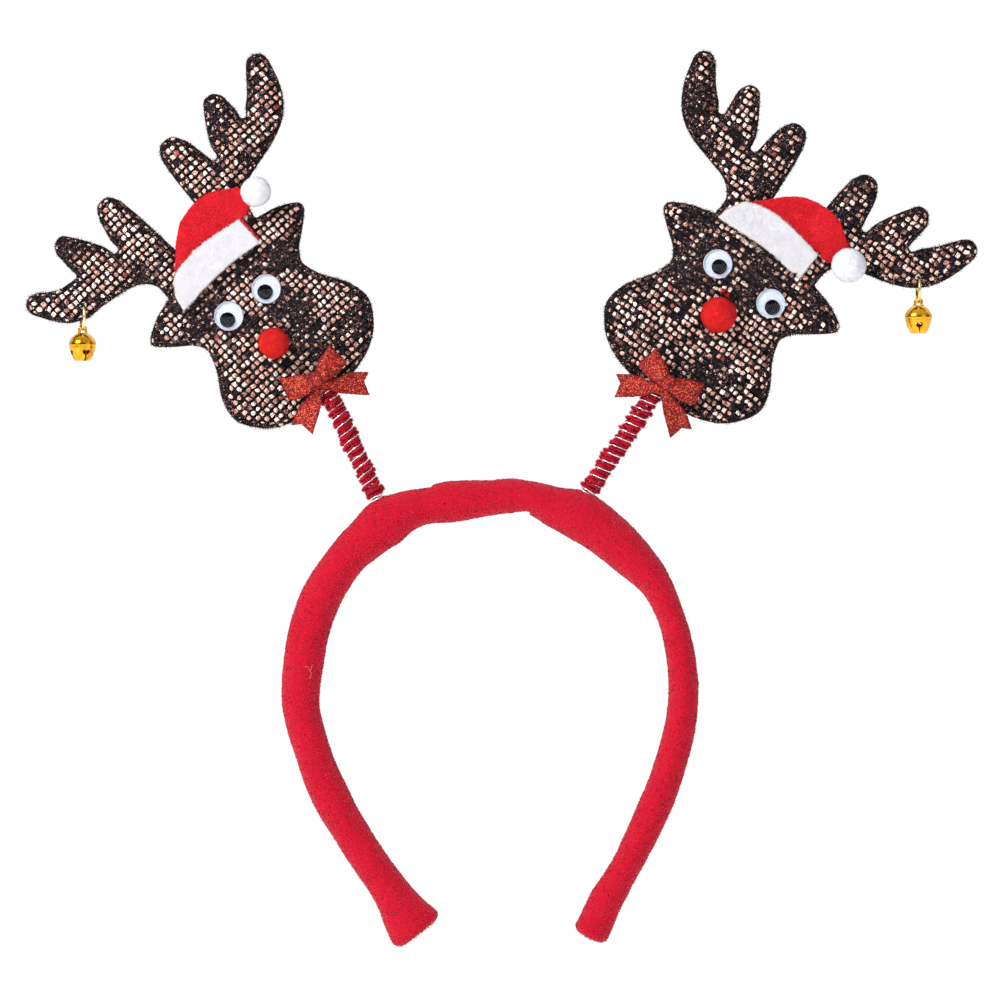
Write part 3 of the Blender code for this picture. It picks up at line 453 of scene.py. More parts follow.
def lathe(profile, sides):
    """Points and triangles of a (radius, out) profile turned about the out axis."""
    profile = np.asarray(profile)
    turn = np.linspace(0, 2 * math.pi, sides, endpoint=False)
    radius = np.maximum(profile[:, 0], LEAST_RADIUS)[:, None]
    points = np.stack((radius * np.cos(turn), radius * np.sin(turn),
                       np.repeat(profile[:, 1:], sides, axis=1)), axis=2)
    return points.reshape(-1, 3), grid_faces(len(profile), sides, True)


# Outlines of the CAD pieces

SHARP_DEG = 66
DENT_DEG = -46
NO_DENT_DEG = -180
WELD_DISTANCE = 1e-5
FRONT_SLANT = -0.3
CROTCH_FILL = 0.0003
CROTCH_BENDS = np.radians((65, 22, -22, -65))


def outline_loops(name, turn_deg):
    """Outlines of a node's front in its turned frame, the longest first."""
    bm = bmesh.new()
    bm.from_mesh(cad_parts[name].data)
    bmesh.ops.remove_doubles(bm, verts=bm.verts, dist=WELD_DISTANCE)
    front = {face for face in bm.faces if face.normal.y < FRONT_SLANT}
    following = {}
    for face in sorted(front, key=lambda f: f.index):
        for loop in face.loops:
            if sum(1 for other in loop.edge.link_faces if other in front) == 1:
                following[loop.vert.index] = loop.link_loop_next.vert.index
    bm.verts.ensure_lookup_table()
    loops = []
    while following:
        current = min(following)
        path = []
        while current in following:
            path.append(bm.verts[current].co[:])
            current = following.pop(current)
        loops.append(to_local(path, turn_deg))
    bm.free()
    return sorted(loops, key=len, reverse=True)


def catmull_rom(before, start, end, after, share):
    return 0.5 * (2 * start + (end - before) * share
                  + (2 * before - 5 * start + 4 * end - after) * share ** 2
                  + (3 * start - before - 3 * end + after) * share ** 3)


def spline_at(rows, i, share):
    """A smooth curve through rows of numbers, part of the way from row i to the next."""
    start, end = rows[i], rows[i + 1]
    before = rows[i - 1] if i > 0 else 2 * start - end
    after = rows[i + 2] if i + 2 < len(rows) else 2 * end - start
    return catmull_rom(before, start, end, after, share)


def smooth_stretch(points, step):
    result = []
    for i in range(len(points) - 1):
        count = max(1, round(np.linalg.norm(points[i + 1] - points[i]) / step))
        result += [spline_at(points, i, k / count) for k in range(count)]
    return result


def outward_of(outline):
    """The way straight out of an outline at each of its points."""
    along = unit(np.roll(outline, -1, axis=0) - np.roll(outline, 1, axis=0))
    return np.column_stack((along[:, 1], -along[:, 0]))


def turns_of(points):
    """The angle in degrees by which an outline turns at each point."""
    arriving = points - np.roll(points, 1, axis=0)
    leaving = np.roll(points, -1, axis=0) - points
    return np.degrees(np.arctan2(arriving[:, 0] * leaving[:, 1] - arriving[:, 1] * leaving[:, 0],
                                 (arriving * leaving).sum(1)))


def eased(points, radius):
    """The same outline with its deepest inward corners rounded."""
    points = np.asarray(points)[:, :2]
    back = unit(np.roll(points, 1, axis=0) - points)
    ahead = unit(np.roll(points, -1, axis=0) - points)
    result = []
    for point, turn, a, b in zip(points, turns_of(points), back, ahead):
        if turn < DENT_DEG:
            up, across = unit(a + b), unit(a - b)
            centre = point + up * (radius + CROTCH_FILL)
            result += [centre + radius * (across * math.sin(bend) - up * math.cos(bend))
                       for bend in CROTCH_BENDS]
        else:
            result.append(point)
    return np.array(result)


def smooth_loop(points, step, sharp=SHARP_DEG, dent=DENT_DEG):
    """A fine outline through the points of a coarse one, which keeps its sharp corners."""
    points = np.asarray(points)[:, :2]
    corners = [i for i, angle in enumerate(turns_of(points)) if angle > sharp or angle < dent]
    if not corners:
        wrapped = np.vstack((points[-2:], points, points[:3]))
        fine = []
        for i in range(2, len(points) + 2):
            count = max(1, round(np.linalg.norm(wrapped[i + 1] - wrapped[i]) / step))
            fine += [catmull_rom(wrapped[i - 1], wrapped[i], wrapped[i + 1], wrapped[i + 2], k / count)
                     for k in range(count)]
        return np.array(fine)
    first = corners[0]
    order = list(points[first:]) + list(points[:first]) + [points[first]]
    stops = [i - first for i in corners] + [len(points)]
    fine = []
    for start, stop in zip(stops, stops[1:]):
        fine += smooth_stretch(order[start:stop + 1], step)
    return np.array(fine)


BATCH = 64
LEAST_LENGTH = 1e-9


def edge_distance(outline, points):
    """Distance of each point from the outline."""
    along = np.roll(outline, -1, axis=0) - outline
    best = np.full(len(points), np.inf)
    for start in range(0, len(outline), BATCH):
        here = slice(start, start + BATCH)
        away = points[:, None] - outline[None, here]
        share = (away * along[None, here]).sum(2) / np.maximum((along[here] ** 2).sum(1), LEAST_LENGTH ** 2)
        near = away - along[None, here] * np.clip(share, 0, 1)[:, :, None]
        best = np.minimum(best, (near ** 2).sum(2).min(1))
    return np.sqrt(best)


def is_inside(outline, points):
    following = np.roll(outline, -1, axis=0)
    count = np.zeros(len(points), dtype=int)
    for a, b in zip(outline, following):
        crosses = (a[1] > points[:, 1]) != (b[1] > points[:, 1])
        if a[1] != b[1]:
            at = a[0] + (points[:, 1] - a[1]) * (b[0] - a[0]) / (b[1] - a[1])
            count += crosses & (points[:, 0] < at)
    return count % 2 == 1


LAST_CELL = 1.001


class Field:
    """Distance to an outline, positive inside it, read from an even grid."""

    def __init__(self, outline):
        self.low = outline.min(0) - FIELD_MARGIN
        size = np.ceil((outline.max(0) + FIELD_MARGIN - self.low) / FIELD_CELL).astype(int) + 2
        places = np.indices(size).reshape(2, -1).T * FIELD_CELL + self.low
        distance = edge_distance(outline, places)
        self.grid = np.where(is_inside(outline, places), distance, -distance).reshape(size)

    def at(self, points):
        place = (np.asarray(points) - self.low) / FIELD_CELL
        place = np.clip(place, 0, np.array(self.grid.shape) - LAST_CELL)
        i, j = np.floor(place).astype(int).T
        x, y = (place - np.floor(place)).T
        grid = self.grid
        return ((1 - x) * (1 - y) * grid[i, j] + x * (1 - y) * grid[i + 1, j]
                + (1 - x) * y * grid[i, j + 1] + x * y * grid[i + 1, j + 1])

    def slope(self, points):
        """The way from each point straight in from the outline."""
        steps = np.eye(2) * FIELD_CELL
        return unit(np.stack([self.at(points + step) - self.at(points - step) for step in steps], axis=1))


RING_ROOM = 0.93
GRID_ROOM = 0.45
HOLE_CLEARANCE = 0.0003
JOIN_DISTANCE = 1e-8


def inner_points(outline, step, insets):
    """Points inside an outline: rings that follow it, then an even grid."""
    outward = outward_of(outline)
    parts = []
    for inset in insets:
        ring = outline - outward * inset
        keep = is_inside(outline, ring) & (edge_distance(outline, ring) > inset * RING_ROOM)
        parts.append(ring[keep])
    low, high = outline.min(0), outline.max(0)
    row_step = step * math.sqrt(3) / 2
    rows = np.arange(low[1] + row_step / 2, high[1], row_step)
    columns = np.arange(low[0], high[0], step)
    grid = np.array([(x + step / 2 * (j % 2), y) for j, y in enumerate(rows) for x in columns])
    grid = grid[is_inside(outline, grid)]
    parts.append(grid[edge_distance(outline, grid) > insets[-1] + step * GRID_ROOM])
    return np.concatenate(parts)


def filled(outline, step, insets, hole=None):
    """Points and triangles inside an outline, less a hole in it."""
    extra = inner_points(outline, step, insets)
    loops = [outline]
    if hole is not None:
        extra = extra[~is_inside(hole, extra)]
        extra = extra[edge_distance(hole, extra) > HOLE_CLEARANCE]
        loops.append(hole)
    points = [Vector(p) for p in np.concatenate(loops + [extra])]
    ends = np.cumsum([0] + [len(loop) for loop in loops])
    chains = [list(range(a, b)) for a, b in zip(ends, ends[1:])]
    made = geometry.delaunay_2d_cdt(points, [], chains, 1, JOIN_DISTANCE)
    flat = np.array([p[:] for p in made[0]])
    faces = np.array([face for face in made[2] if len(face) == 3])
    if hole is not None:
        faces = faces[~is_inside(hole, flat[faces].mean(1))]
    return flat, faces


def rim_edges(faces):
    """Directed edges that only one triangle has."""
    edges = np.concatenate((faces[:, (0, 1)], faces[:, (1, 2)], faces[:, (2, 0)]))
    known = {(a, b) for a, b in edges}
    return np.array([(a, b) for a, b in edges if (b, a) not in known])


def add_pad(pile, flat, faces, half, level, tone, blend=0.0):
    """Front and back over the same triangles, joined round the rim, in a local frame."""
    count = len(flat)
    level = np.broadcast_to(level, count)
    front = np.column_stack((flat, level + half))
    back = np.column_stack((flat, level - half))
    walls = []
    for a, b in rim_edges(faces):
        walls += [(b, a, a + count), (b, a + count, b + count)]
    triangles = np.concatenate((faces, faces[:, ::-1] + count, np.array(walls)))
    tones = np.tile(np.broadcast_to(tone, count), 2)
    blends = np.tile(np.broadcast_to(blend, count), 2)
    pile.add(np.concatenate((front, back)), triangles, tones, blends)


def turned(pile, turn_deg):
    """The same pile, from a local frame to the world."""
    pile.points = [to_world(points, turn_deg) for points in pile.points]
    pile.normals = [to_world(normals, turn_deg) for normals in pile.normals]
    return pile


# Materials

def colour(code):
    """Linear colour of a six-digit hex code."""
    parts = [int(code[i:i + 2], 16) / 255 for i in (0, 2, 4)]
    return tuple(p / 12.92 if p <= 0.04045 else ((p + 0.055) / 1.055) ** 2.4 for p in parts) + (1.0,)


def new_material(name, **sockets):
    material = bpy.data.materials.new(name)
    material.use_nodes = True
    shader = material.node_tree.nodes["Principled BSDF"]
    for label, value in sockets.items():
        shader.inputs[label.replace("_", " ")].default_value = value
    return material


def add_node(material, kind, **values):
    node = material.node_tree.nodes.new(kind)
    for label, value in values.items():
        if hasattr(node, label):
            setattr(node, label, value)
        else:
            node.inputs[label].default_value = value
    return node


def link(material, start, end):
    material.node_tree.links.new(start, end)


def shader_socket(material, label):
    return material.node_tree.nodes["Principled BSDF"].inputs[label]


def colour_with(material, socket):
    link(material, socket, shader_socket(material, "Base Color"))


def number(material, label):
    """The piece's own number at each point: its tone or its blend."""
    return add_node(material, "ShaderNodeAttribute", attribute_name=label).outputs["Fac"]


def speckle(material, cell, detail=2.0, rough=0.5):
    """Noise with cells of the given size in the piece's own space."""
    place = add_node(material, "ShaderNodeTexCoord").outputs["Object"]
    texture = add_node(material, "ShaderNodeTexNoise", Scale=1 / cell, Detail=detail, Roughness=rough)
    link(material, place, texture.inputs["Vector"])
    return texture.outputs["Fac"]


def ramp(material, source, *stops):
    """Colours along a number: pairs of a place and a hex code or a linear colour."""
    node = add_node(material, "ShaderNodeValToRGB")
    elements = node.color_ramp.elements
    while len(elements) < len(stops):
        elements.new(0.5)
    for element, (place, code) in zip(elements, stops):
        element.position = place
        element.color = colour(code) if isinstance(code, str) else code
    link(material, source, node.inputs["Fac"])
    return node.outputs["Color"]


# Where a Mix node has its two colours
FIRST_COLOUR = 6
SECOND_COLOUR = 7


def blended(material, share, first, second, way='MIX'):
    node = add_node(material, "ShaderNodeMix", data_type='RGBA', blend_type=way)
    sockets = node.inputs["Factor"], node.inputs[FIRST_COLOUR], node.inputs[SECOND_COLOUR]
    for source, socket in zip((share, first, second), sockets):
        if isinstance(source, (int, float, tuple)):
            socket.default_value = source
        else:
            link(material, source, socket)
    return node.outputs[2]


def summed(material, first, second, way='ADD', clamp=False):
    node = add_node(material, "ShaderNodeMath", operation=way, use_clamp=clamp)
    for source, socket in ((first, node.inputs[0]), (second, node.inputs[1])):
        if isinstance(source, (int, float)):
            socket.default_value = source
        else:
            link(material, source, socket)
    return node.outputs[0]


def add_bump(material, height, distance):
    node = add_node(material, "ShaderNodeBump", Strength=1.0, Distance=distance)
    link(material, height, node.inputs["Height"])
    link(material, node.outputs["Normal"], shader_socket(material, "Normal"))


# Detail and roughness of the noise
GRAIN = (3.0, 0.6)
FINE_GRAIN = (4.0, 0.6)
FIBRE_CELL = 0.0009
# Sequin foil: painted highlight and shade along its creases, its bumps, and colours from dark to a painted
# highlight
FOIL_PAINTED_LIGHT_CELL = 0.0007
FOIL_PAINTED_LIGHT = (3.0, 0.7)
FOIL_TONE_SHARE = 0.78
FOIL_PAINTED_LIGHT_SHARE = 1.15
FOIL_LEAST = 0.1
FOIL_BUMP_CELL = 0.0005
FOIL_BUMP = 0.0001
FOIL = ((0.0, "2C1A18"), (0.14, "6E4640"), (0.3, "B07C6E"), (0.46, "E2A692"), (0.62, "F2C6B2"),
        (0.78, "FCE0D0"), (0.95, "FFF6EE"))
RED_FOIL = ((0.0, "2A0A0A"), (0.5, "8A2A26"), (1.0, "D87060"))
# Glitter flakes: colours from dark red to a painted glint, and faint clouding
FLAKE = ((0.0, "4A040A"), (0.3, "980C16"), (0.5, "D4261E"), (0.75, "FA5230"), (1.0, "FF9A72"))
FLAKE_CLOUD_CELL = 0.002
FLAKE_CLOUDS = ((0.3, "D0D0D0"), (0.7, "FFFFFF"))
METAL_STOPS = (0.35, 0.65)
METAL_ROUGH_SHARES = (0.7, 1.4)
METAL_BUMP_CELL = 0.0009
METAL_BUMP = 0.00002
CLEAR_CELL = 0.004
CLEAR_TINTS = ((0.3, "F4F6FA"), (0.7, "FFFFFF"))


def mottled(name, stops, cell, bump_cell, bump, tone_share=0.5, edge=None, **sockets):
    """A material whose colour follows the piece's tone and fine noise, with a tint along its edge."""
    material = new_material(name, **sockets)
    grain = speckle(material, cell, *GRAIN)
    value = summed(material, summed(material, number(material, "tone"), tone_share, 'MULTIPLY'),
                   summed(material, grain, 1 - tone_share, 'MULTIPLY'))
    look = ramp(material, value, *stops)
    if edge is not None:
        look = blended(material, number(material, "blend"), look, colour(edge))
    colour_with(material, look)
    add_bump(material, speckle(material, bump_cell, *FINE_GRAIN), bump)
    return material


def fibre_material(name, stops, tone_share=0.6, **sockets):
    """Fibres: each has a tone of its own, with painted shade that darkens it from its tip towards its root.
    """
    material = new_material(name, **sockets)
    rest = (1 - tone_share) / 2
    grain = speckle(material, FIBRE_CELL)
    value = summed(material, summed(material, number(material, "tone"), tone_share, 'MULTIPLY'),
                   summed(material, summed(material, grain, rest, 'MULTIPLY'),
                          summed(material, number(material, "blend"), rest, 'MULTIPLY')))
    colour_with(material, ramp(material, value, *stops))
    return material


def sequin_material():
    """Crinkled copper foil: a tone for each sequin, broken up by creases in it; both are partly the foil's
    own colour and partly painted reflection, highlight and shade.
    """
    material = new_material("sequin_foil", Metallic=0.25, Roughness=0.38, Specular_IOR_Level=0.6)
    # Painted highlight and shade along the foil's creases
    crease = speckle(material, FOIL_PAINTED_LIGHT_CELL, *FOIL_PAINTED_LIGHT)
    value = summed(material, summed(material, number(material, "tone"), FOIL_TONE_SHARE, 'MULTIPLY'),
                   summed(material, summed(material, crease, 0.5, 'SUBTRACT'), FOIL_PAINTED_LIGHT_SHARE, 'MULTIPLY'))
    value = summed(material, value, FOIL_LEAST, 'ADD', clamp=True)
    foil, red = ramp(material, value, *FOIL), ramp(material, value, *RED_FOIL)
    colour_with(material, blended(material, number(material, "blend"), foil, red))
    add_bump(material, speckle(material, FOIL_BUMP_CELL, 3.0), FOIL_BUMP)
    return material


def glitter_material():
    material = new_material("glitter_flake", Metallic=0.1, Roughness=0.5, Specular_IOR_Level=0.25)
    # Each flake's tone runs from dark red to a painted glint that stands in for its sparkle
    flake = ramp(material, number(material, "tone"), *FLAKE)
    clouds = ramp(material, speckle(material, FLAKE_CLOUD_CELL), *FLAKE_CLOUDS)
    colour_with(material, blended(material, 1.0, flake, clouds, 'MULTIPLY'))
    return material


def metal_material(name, low, high, cell, roughness):
    """Plated metal with faint clouding and fine scratches."""
    material = new_material(name, Metallic=1.0)
    cloud = speckle(material, cell, *GRAIN)
    colour_with(material, ramp(material, cloud, *zip(METAL_STOPS, (low, high))))
    node = add_node(material, "ShaderNodeMapRange")
    for label, share in zip(("To Min", "To Max"), METAL_ROUGH_SHARES):
        node.inputs[label].default_value = roughness * share
    link(material, cloud, node.inputs["Value"])
    link(material, node.outputs["Result"], shader_socket(material, "Roughness"))
    add_bump(material, speckle(material, METAL_BUMP_CELL, 4.0), METAL_BUMP)
    return material


def clear_material():
    material = new_material("clear_plastic", Transmission_Weight=1.0, IOR=1.22, Roughness=0.0)
    colour_with(material, ramp(material, speckle(material, CLEAR_CELL), *CLEAR_TINTS))
    return material


MATT = dict(Roughness=0.9, Specular_IOR_Level=0.12)
SHEEN_RED = dict(Sheen_Weight=0.3, Sheen_Tint=(1.0, 0.32, 0.40, 1.0))
# Fibres and piles: material name, colours along the tone
PILES = {
    "lint": ("pale_lint", (0.2, "DC6C74"), (0.8, "F0AAA6")),
    "yarn_fuzz": ("red_yarn_fuzz", (0.1, "780616"), (0.5, "B8102C"), (0.9, "E43A52")),
    "red_felt_nap": ("red_felt_nap", (0.1, "9C0A18"), (0.5, "CC1824"), (0.9, "EC4650")),
    "white_felt_nap": ("white_felt_nap", (0.1, "C6C3C9"), (0.5, "DAD8DD"), (0.9, "EEEDF0")),
    "white_pile": ("white_pile", (0.05, "D2D1D8"), (0.45, "E4E3E9"), (0.8, "F4F4F7")),
    "red_pile": ("red_pile", (0.05, "AC0F16"), (0.45, "CC191C"), (0.85, "E03E38")),
}
RED_NAP = ((0.1, "980920"), (0.35, "A80B24"), (0.6, "BE152B"), (0.88, "E84A60"))
# Black thread from near black to grey; its lighter tones are partly painted gloss highlight
THREAD = ((0.1, "0A0709"), (0.35, "191216"), (0.55, "382B32"), (0.75, "705F69"), (0.95, "B4A4A2"))
# Cloth and solids: material name, colours along the tone, cell of the colours, cell and height of
# the bumps, the tone's share in the colour, and the shader's own sockets
SOLIDS = {
    "fleece": ("red_fleece", ((0.2, "A40A22"), (0.5, "BA1028"), (0.8, "CE203A")), 0.0006, 0.0004, 0.0003, 0.4,
               dict(Roughness=0.95, Specular_IOR_Level=0.1, Sheen_Weight=0.3, Sheen_Roughness=0.4,
                    Sheen_Tint=(1.0, 0.3, 0.38, 1.0))),
    "yarn": ("red_yarn", ((0.15, "6E0618"), (0.5, "A80C26"), (0.85, "D0203A")), 0.0008, 0.0004, 0.0003, 0.5,
             MATT),
    "knit": ("black_knit", ((0.25, "0A0709"), (0.5, "181115"), (0.75, "35272F")), 0.0005, 0.0005, 0.0003, 0.3,
             dict(Roughness=0.85, Specular_IOR_Level=0.12)),
    "red_felt": ("red_felt", ((0.2, "A80C1A"), (0.5, "CA1622"), (0.85, "E22C38")), 0.0006, 0.0004, 0.00025,
                 0.4, dict(Roughness=0.95, Specular_IOR_Level=0.12)),
    "white_felt": ("white_felt", ((0.2, "CDCAD0"), (0.5, "D9D6DC"), (0.85, "E6E4E9")), 0.0006, 0.0004, 0.0002,
                   0.3, dict(edge="DCC8A0", Roughness=0.95, Specular_IOR_Level=0.12)),
    "glue": ("cream_glue", ((0.2, "DCCDB0"), (0.6, "F0E6D2"), (0.9, "FBF6EC")), 0.0008, 0.0005, 0.0001, 0.5,
             dict(Roughness=0.45)),
    "eye_white": ("eye_white", ((0.2, "A6ACBE"), (0.5, "B6BCCC"), (0.85, "C6CBDA")), 0.0006, 0.0006, 0.00004,
                  0.4, dict(Roughness=0.45)),
    "pupil": ("pupil_black", ((0.2, "050507"), (0.8, "0E0E14")), 0.002, 0.001, 0.000004, 0.5,
              dict(Roughness=0.95, Specular_IOR_Level=0.0)),
    "glitter_base": ("glitter_base", ((0.2, "4C050C"), (0.5, "840E18"), (0.85, "AC1C26")), 0.0004, 0.0004,
                     0.0003, 0.3, dict(Roughness=0.6, Specular_IOR_Level=0.3)),
}
# Metals: material name, dark and light colour, cell of the clouding, roughness
METALS = {
    "steel": ("spring_steel", "E2E0DC", "FCFBF8", 0.004, 0.3),
    "gold": ("gold_plate", "C48A18", "F0B434", 0.003, 0.2),
    "pale_gold": ("pale_gold_wire", "DCC888", "F4E6B4", 0.003, 0.25),
}


def make_materials():
    materials = {key: fibre_material(name, stops, **MATT) for key, (name, *stops) in PILES.items()}
    for key, (*values, sockets) in SOLIDS.items():
        materials[key] = mottled(*values, **sockets)
    for key, values in METALS.items():
        materials[key] = metal_material(*values)
    materials["nap"] = fibre_material("red_nap", RED_NAP, Sheen_Roughness=0.35, **MATT, **SHEEN_RED)
    materials["thread"] = fibre_material("black_thread", THREAD, 0.84, Roughness=0.7, Specular_IOR_Level=0.2)
    materials["foil"] = sequin_material()
    materials["flake"] = glitter_material()
    materials["clear"] = clear_material()
    return materials


# Hoop

def hoop_values(angles):
    rows = np.array(HOOP_ROWS, dtype=float) * (1.0, ARCH_RADIUS, HOOP_THICKNESS, HOOP_DEPTH)
    values = []
    for angle in angles:
        i = int(np.clip(np.searchsorted(rows[:, 0], angle) - 1, 0, len(rows) - 2))
        share = (angle - rows[i, 0]) / (rows[i + 1, 0] - rows[i, 0])
        values.append(spline_at(rows[:, 1:], i, share))
    return np.array(values)


HOOP_STEPS = 420
HOOP_SIDES = 40
TIP_ROUNDING = 0.0026
TIP_STEPS = 8
TIP_END_DEG = 88
TOP_DEG = 90.0
NAP_COUNT = 66000
NAP_LENGTH = (0.0003, 0.0009)
NAP_WIDTH = 0.00019
NAP_SUNK = 0.0001
NAP_RAISED = 0.4
NAP_LIFT = 0.12
NAP_CLUMPS = (0.0004, 20)
NAP_CLUMP = 0.6
NAP_STRAY = 0.6
NAP_BETA = (1.5, 2.5)
NAP_MOTTLING = ((0.3, 0.0012, 45), (0.5, 0.0005, 46))
NAP_TONE = 0.55
NAP_TONE_STRAY = 0.22
TUFT_COUNT = 42000
TUFT_LENGTH = (0.0004, 0.0014)
TUFT_WIDTH = 0.00026
TUFT_UPRIGHT = 0.9
TUFT_LEANS = (0.0009, 24)
TUFT_LEAN = 0.7
TUFT_STRAY = 0.35
TUFT_BETA = (1.3, 2.6)
TUFT_UNEVEN = (0.5, 0.0016, 27)
HOOP_SWELL = 0.0002
HOOP_BUMPS = ((0.0001, 0.0016, 1), (0.0002, 0.008, 2))
FLEECE_MOTTLING = (0.12, 0.006, 4)
# Where the fleece laps over itself: angle, outer or inner side, height, way it fades and reach in degrees
LAPS = ((105.5, 1, -0.0007, 1, 5.0), (77.3, -1, 0.0009, -1, 5.0))
# The crease near the right tip, across and up, where the nap gets painted shade
CREASE = ((0.0360, -0.1363), (0.0343, -0.1407))
CREASE_WIDTH = 0.0006
CREASE_SHADE = 0.8


def centre_level():
    """The level of the arch's centre, with the origin under the arch's top."""
    radius, thickness, _ = hoop_values([TOP_DEG])[0]
    return thickness / 2 - radius


def hoop_sections():
    """Centres, in-plane normals, thicknesses and depths, tip to tip with rounded ends."""
    angles = np.linspace(HOOP_ROWS[0][0], HOOP_ROWS[-1][0], HOOP_STEPS)
    values = hoop_values(angles)
    turn = np.radians(angles)
    levels = values[:, 0] * np.sin(turn) + centre_level()
    centres = np.stack((values[:, 0] * np.cos(turn), 0 * turn, levels), 1)
    along = unit(np.gradient(centres, axis=0))
    normals = np.stack((along[:, 2], 0 * turn, -along[:, 0]), 1)
    sizes = values[:, 1:]
    bends = np.radians(np.linspace(0, TIP_END_DEG, TIP_STEPS + 1)[1:])
    cuts = (TIP_ROUNDING * (1 - np.cos(bends)) * 2)[:, None]
    outs = (TIP_ROUNDING * np.sin(bends))[:, None]
    start = (centres[0] - along[0] * outs, np.repeat(normals[:1], TIP_STEPS, 0), sizes[0] - cuts)
    end = (centres[-1] + along[-1] * outs, np.repeat(normals[-1:], TIP_STEPS, 0), sizes[-1] - cuts)
    return [np.concatenate((a[::-1], b, c)) for a, b, c in zip(start, (centres, normals, sizes), end)]


def nap_tones(roots, rng):
    """A tone for each fibre, with painted shade in the crease."""
    start, end = np.array(CREASE)
    share = np.clip((roots[:, (0, 2)] - start) @ (end - start) / ((end - start) ** 2).sum(), 0, 1)
    away = np.linalg.norm(roots[:, (0, 2)] - start - share[:, None] * (end - start), axis=1)
    # Painted shade along the crease, on the front only
    dark = np.where(roots[:, 1] < 0, np.exp(-(away / CREASE_WIDTH) ** 2), 0)
    own = rng.normal(size=len(roots)) * NAP_TONE_STRAY
    return np.clip(NAP_TONE + waves(roots, *NAP_MOTTLING) + own - CREASE_SHADE * dark, 0, 1)


def lap_heights(centres, turn):
    """How far each point of the hoop's surface stands out where the fleece is lapped."""
    angle = np.degrees(np.arctan2(centres[:, 2] - centre_level(), centres[:, 0]))[:, None]
    height = np.zeros((len(centres), len(turn)))
    for start, face, rise, way, reach in LAPS:
        away = way * (angle - start)
        height += rise * np.clip(face * np.cos(turn), 0, 1) * np.where(away > 0, np.exp(-away / reach), 0)
    return height.ravel()


def hoop_surface():
    """The fleece over the hoop, with flat ends on its rounded tips."""
    centres, normals, sizes = hoop_sections()
    turn = np.linspace(0, 2 * math.pi, HOOP_SIDES, endpoint=False)
    across = normals[:, None] * (np.cos(turn)[None, :, None] * sizes[:, None, :1] / 2)
    across[:, :, 1] += np.sin(turn)[None] * sizes[:, 1:] / 2
    points = (centres[:, None] + across).reshape(-1, 3)
    swell = waves(points, *HOOP_BUMPS) + HOOP_SWELL
    points = points + unit(across).reshape(-1, 3) * (swell + lap_heights(centres, turn))[:, None]
    pile = Pile()
    faces = grid_faces(len(centres), HOOP_SIDES, True)[:, ::-1]
    pile.add(points, faces, 0.5 + waves(points, FLEECE_MOTTLING))
    for end, order in ((0, -1), (len(centres) - 1, 1)):
        rim = points[end * HOOP_SIDES:(end + 1) * HOOP_SIDES]
        pile.add(np.vstack((rim.mean(0), rim)), fan_faces(HOOP_SIDES)[:, ::order], 0.5)
    return pile


def add_lying_nap(nap, pile, rng):
    roots, ways = pile.scatter(NAP_COUNT, rng)
    aims = drift(roots, *NAP_CLUMPS) * NAP_CLUMP + rng.normal(size=roots.shape) * NAP_STRAY
    aims = unit(aims - ways * ((aims * ways).sum(1, keepdims=True) - NAP_LIFT))
    lengths = uneven(NAP_LENGTH, NAP_BETA, len(roots), rng)
    raised = roots + ways * NAP_SUNK * NAP_RAISED
    add_fibres(nap, raised, aims, lengths, NAP_WIDTH, nap_tones(roots, rng), rng, ways)


def add_standing_tufts(nap, pile, rng):
    roots, ways = pile.scatter(TUFT_COUNT, rng)
    lean = drift(roots, *TUFT_LEANS) * TUFT_LEAN
    aims = unit(ways * TUFT_UPRIGHT + lean + rng.normal(size=roots.shape) * TUFT_STRAY)
    lengths = uneven(TUFT_LENGTH, TUFT_BETA, len(roots), rng) * (1 + waves(roots, TUFT_UNEVEN))
    add_spikes(nap, roots - ways * NAP_SUNK, aims, lengths, TUFT_WIDTH, nap_tones(roots, rng), rng, ways)


def make_hoop(materials):
    rng = np.random.default_rng(SEED)
    pile = hoop_surface()
    hoop = make_piece("hoop_fleece", pile, materials["fleece"], ("hoop",))
    nap = Pile()
    add_lying_nap(nap, pile, rng)
    add_standing_tufts(nap, pile, rng)
    hair = make_piece("hoop_nap", nap, materials["nap"])
    hair.visible_shadow = False


# Springs

YARN_STRAND_RADIUS = 0.00056
YARN_COIL_RADIUS = 0.00246
YARN_LIFTS = (0.29, 0.70)
YARN_WANDER = 0.0009
YARN_START = 2.3
YARN_END = 0.5
YARN_TURN_STEPS = 26
YARN_THICKNESS = (0.4, 0.0013)
YARN_TONE = (0.45, 0.0010)
YARN_BEND = (0.14, 0.0022)
# Seeds of the noise on the first strand
YARN_RADIUS_SEED = 5
YARN_LIFT_SEED = 90
YARN_SIZE_SEED = 7
YARN_TONE_SEED = 8
YARN_FUZZ_COUNT = 16000
YARN_FUZZ_LENGTH = (0.0003, 0.0013)
YARN_FUZZ_BETA = (1.2, 3.0)
YARN_FUZZ_WIDTH = 0.00015
YARN_FUZZ_OUT = 0.4
YARN_FUZZ_ROUND = 0.6
YARN_FUZZ_STRAY = 0.6
WIRE_TURN_STEPS = 24
WIRE_SIDES = 10


def coil_height(turns):
    close = np.minimum(turns, CLOSE_TURNS)
    return WIRE_RADIUS + GAP + close * CLOSE_PITCH + (turns - close) * COIL_PITCH


def coil_path(turns, radius, lift=0.0):
    turn = 2 * math.pi * turns
    return np.stack((radius * np.cos(turn), -radius * np.sin(turn), coil_height(turns) + lift), 1)


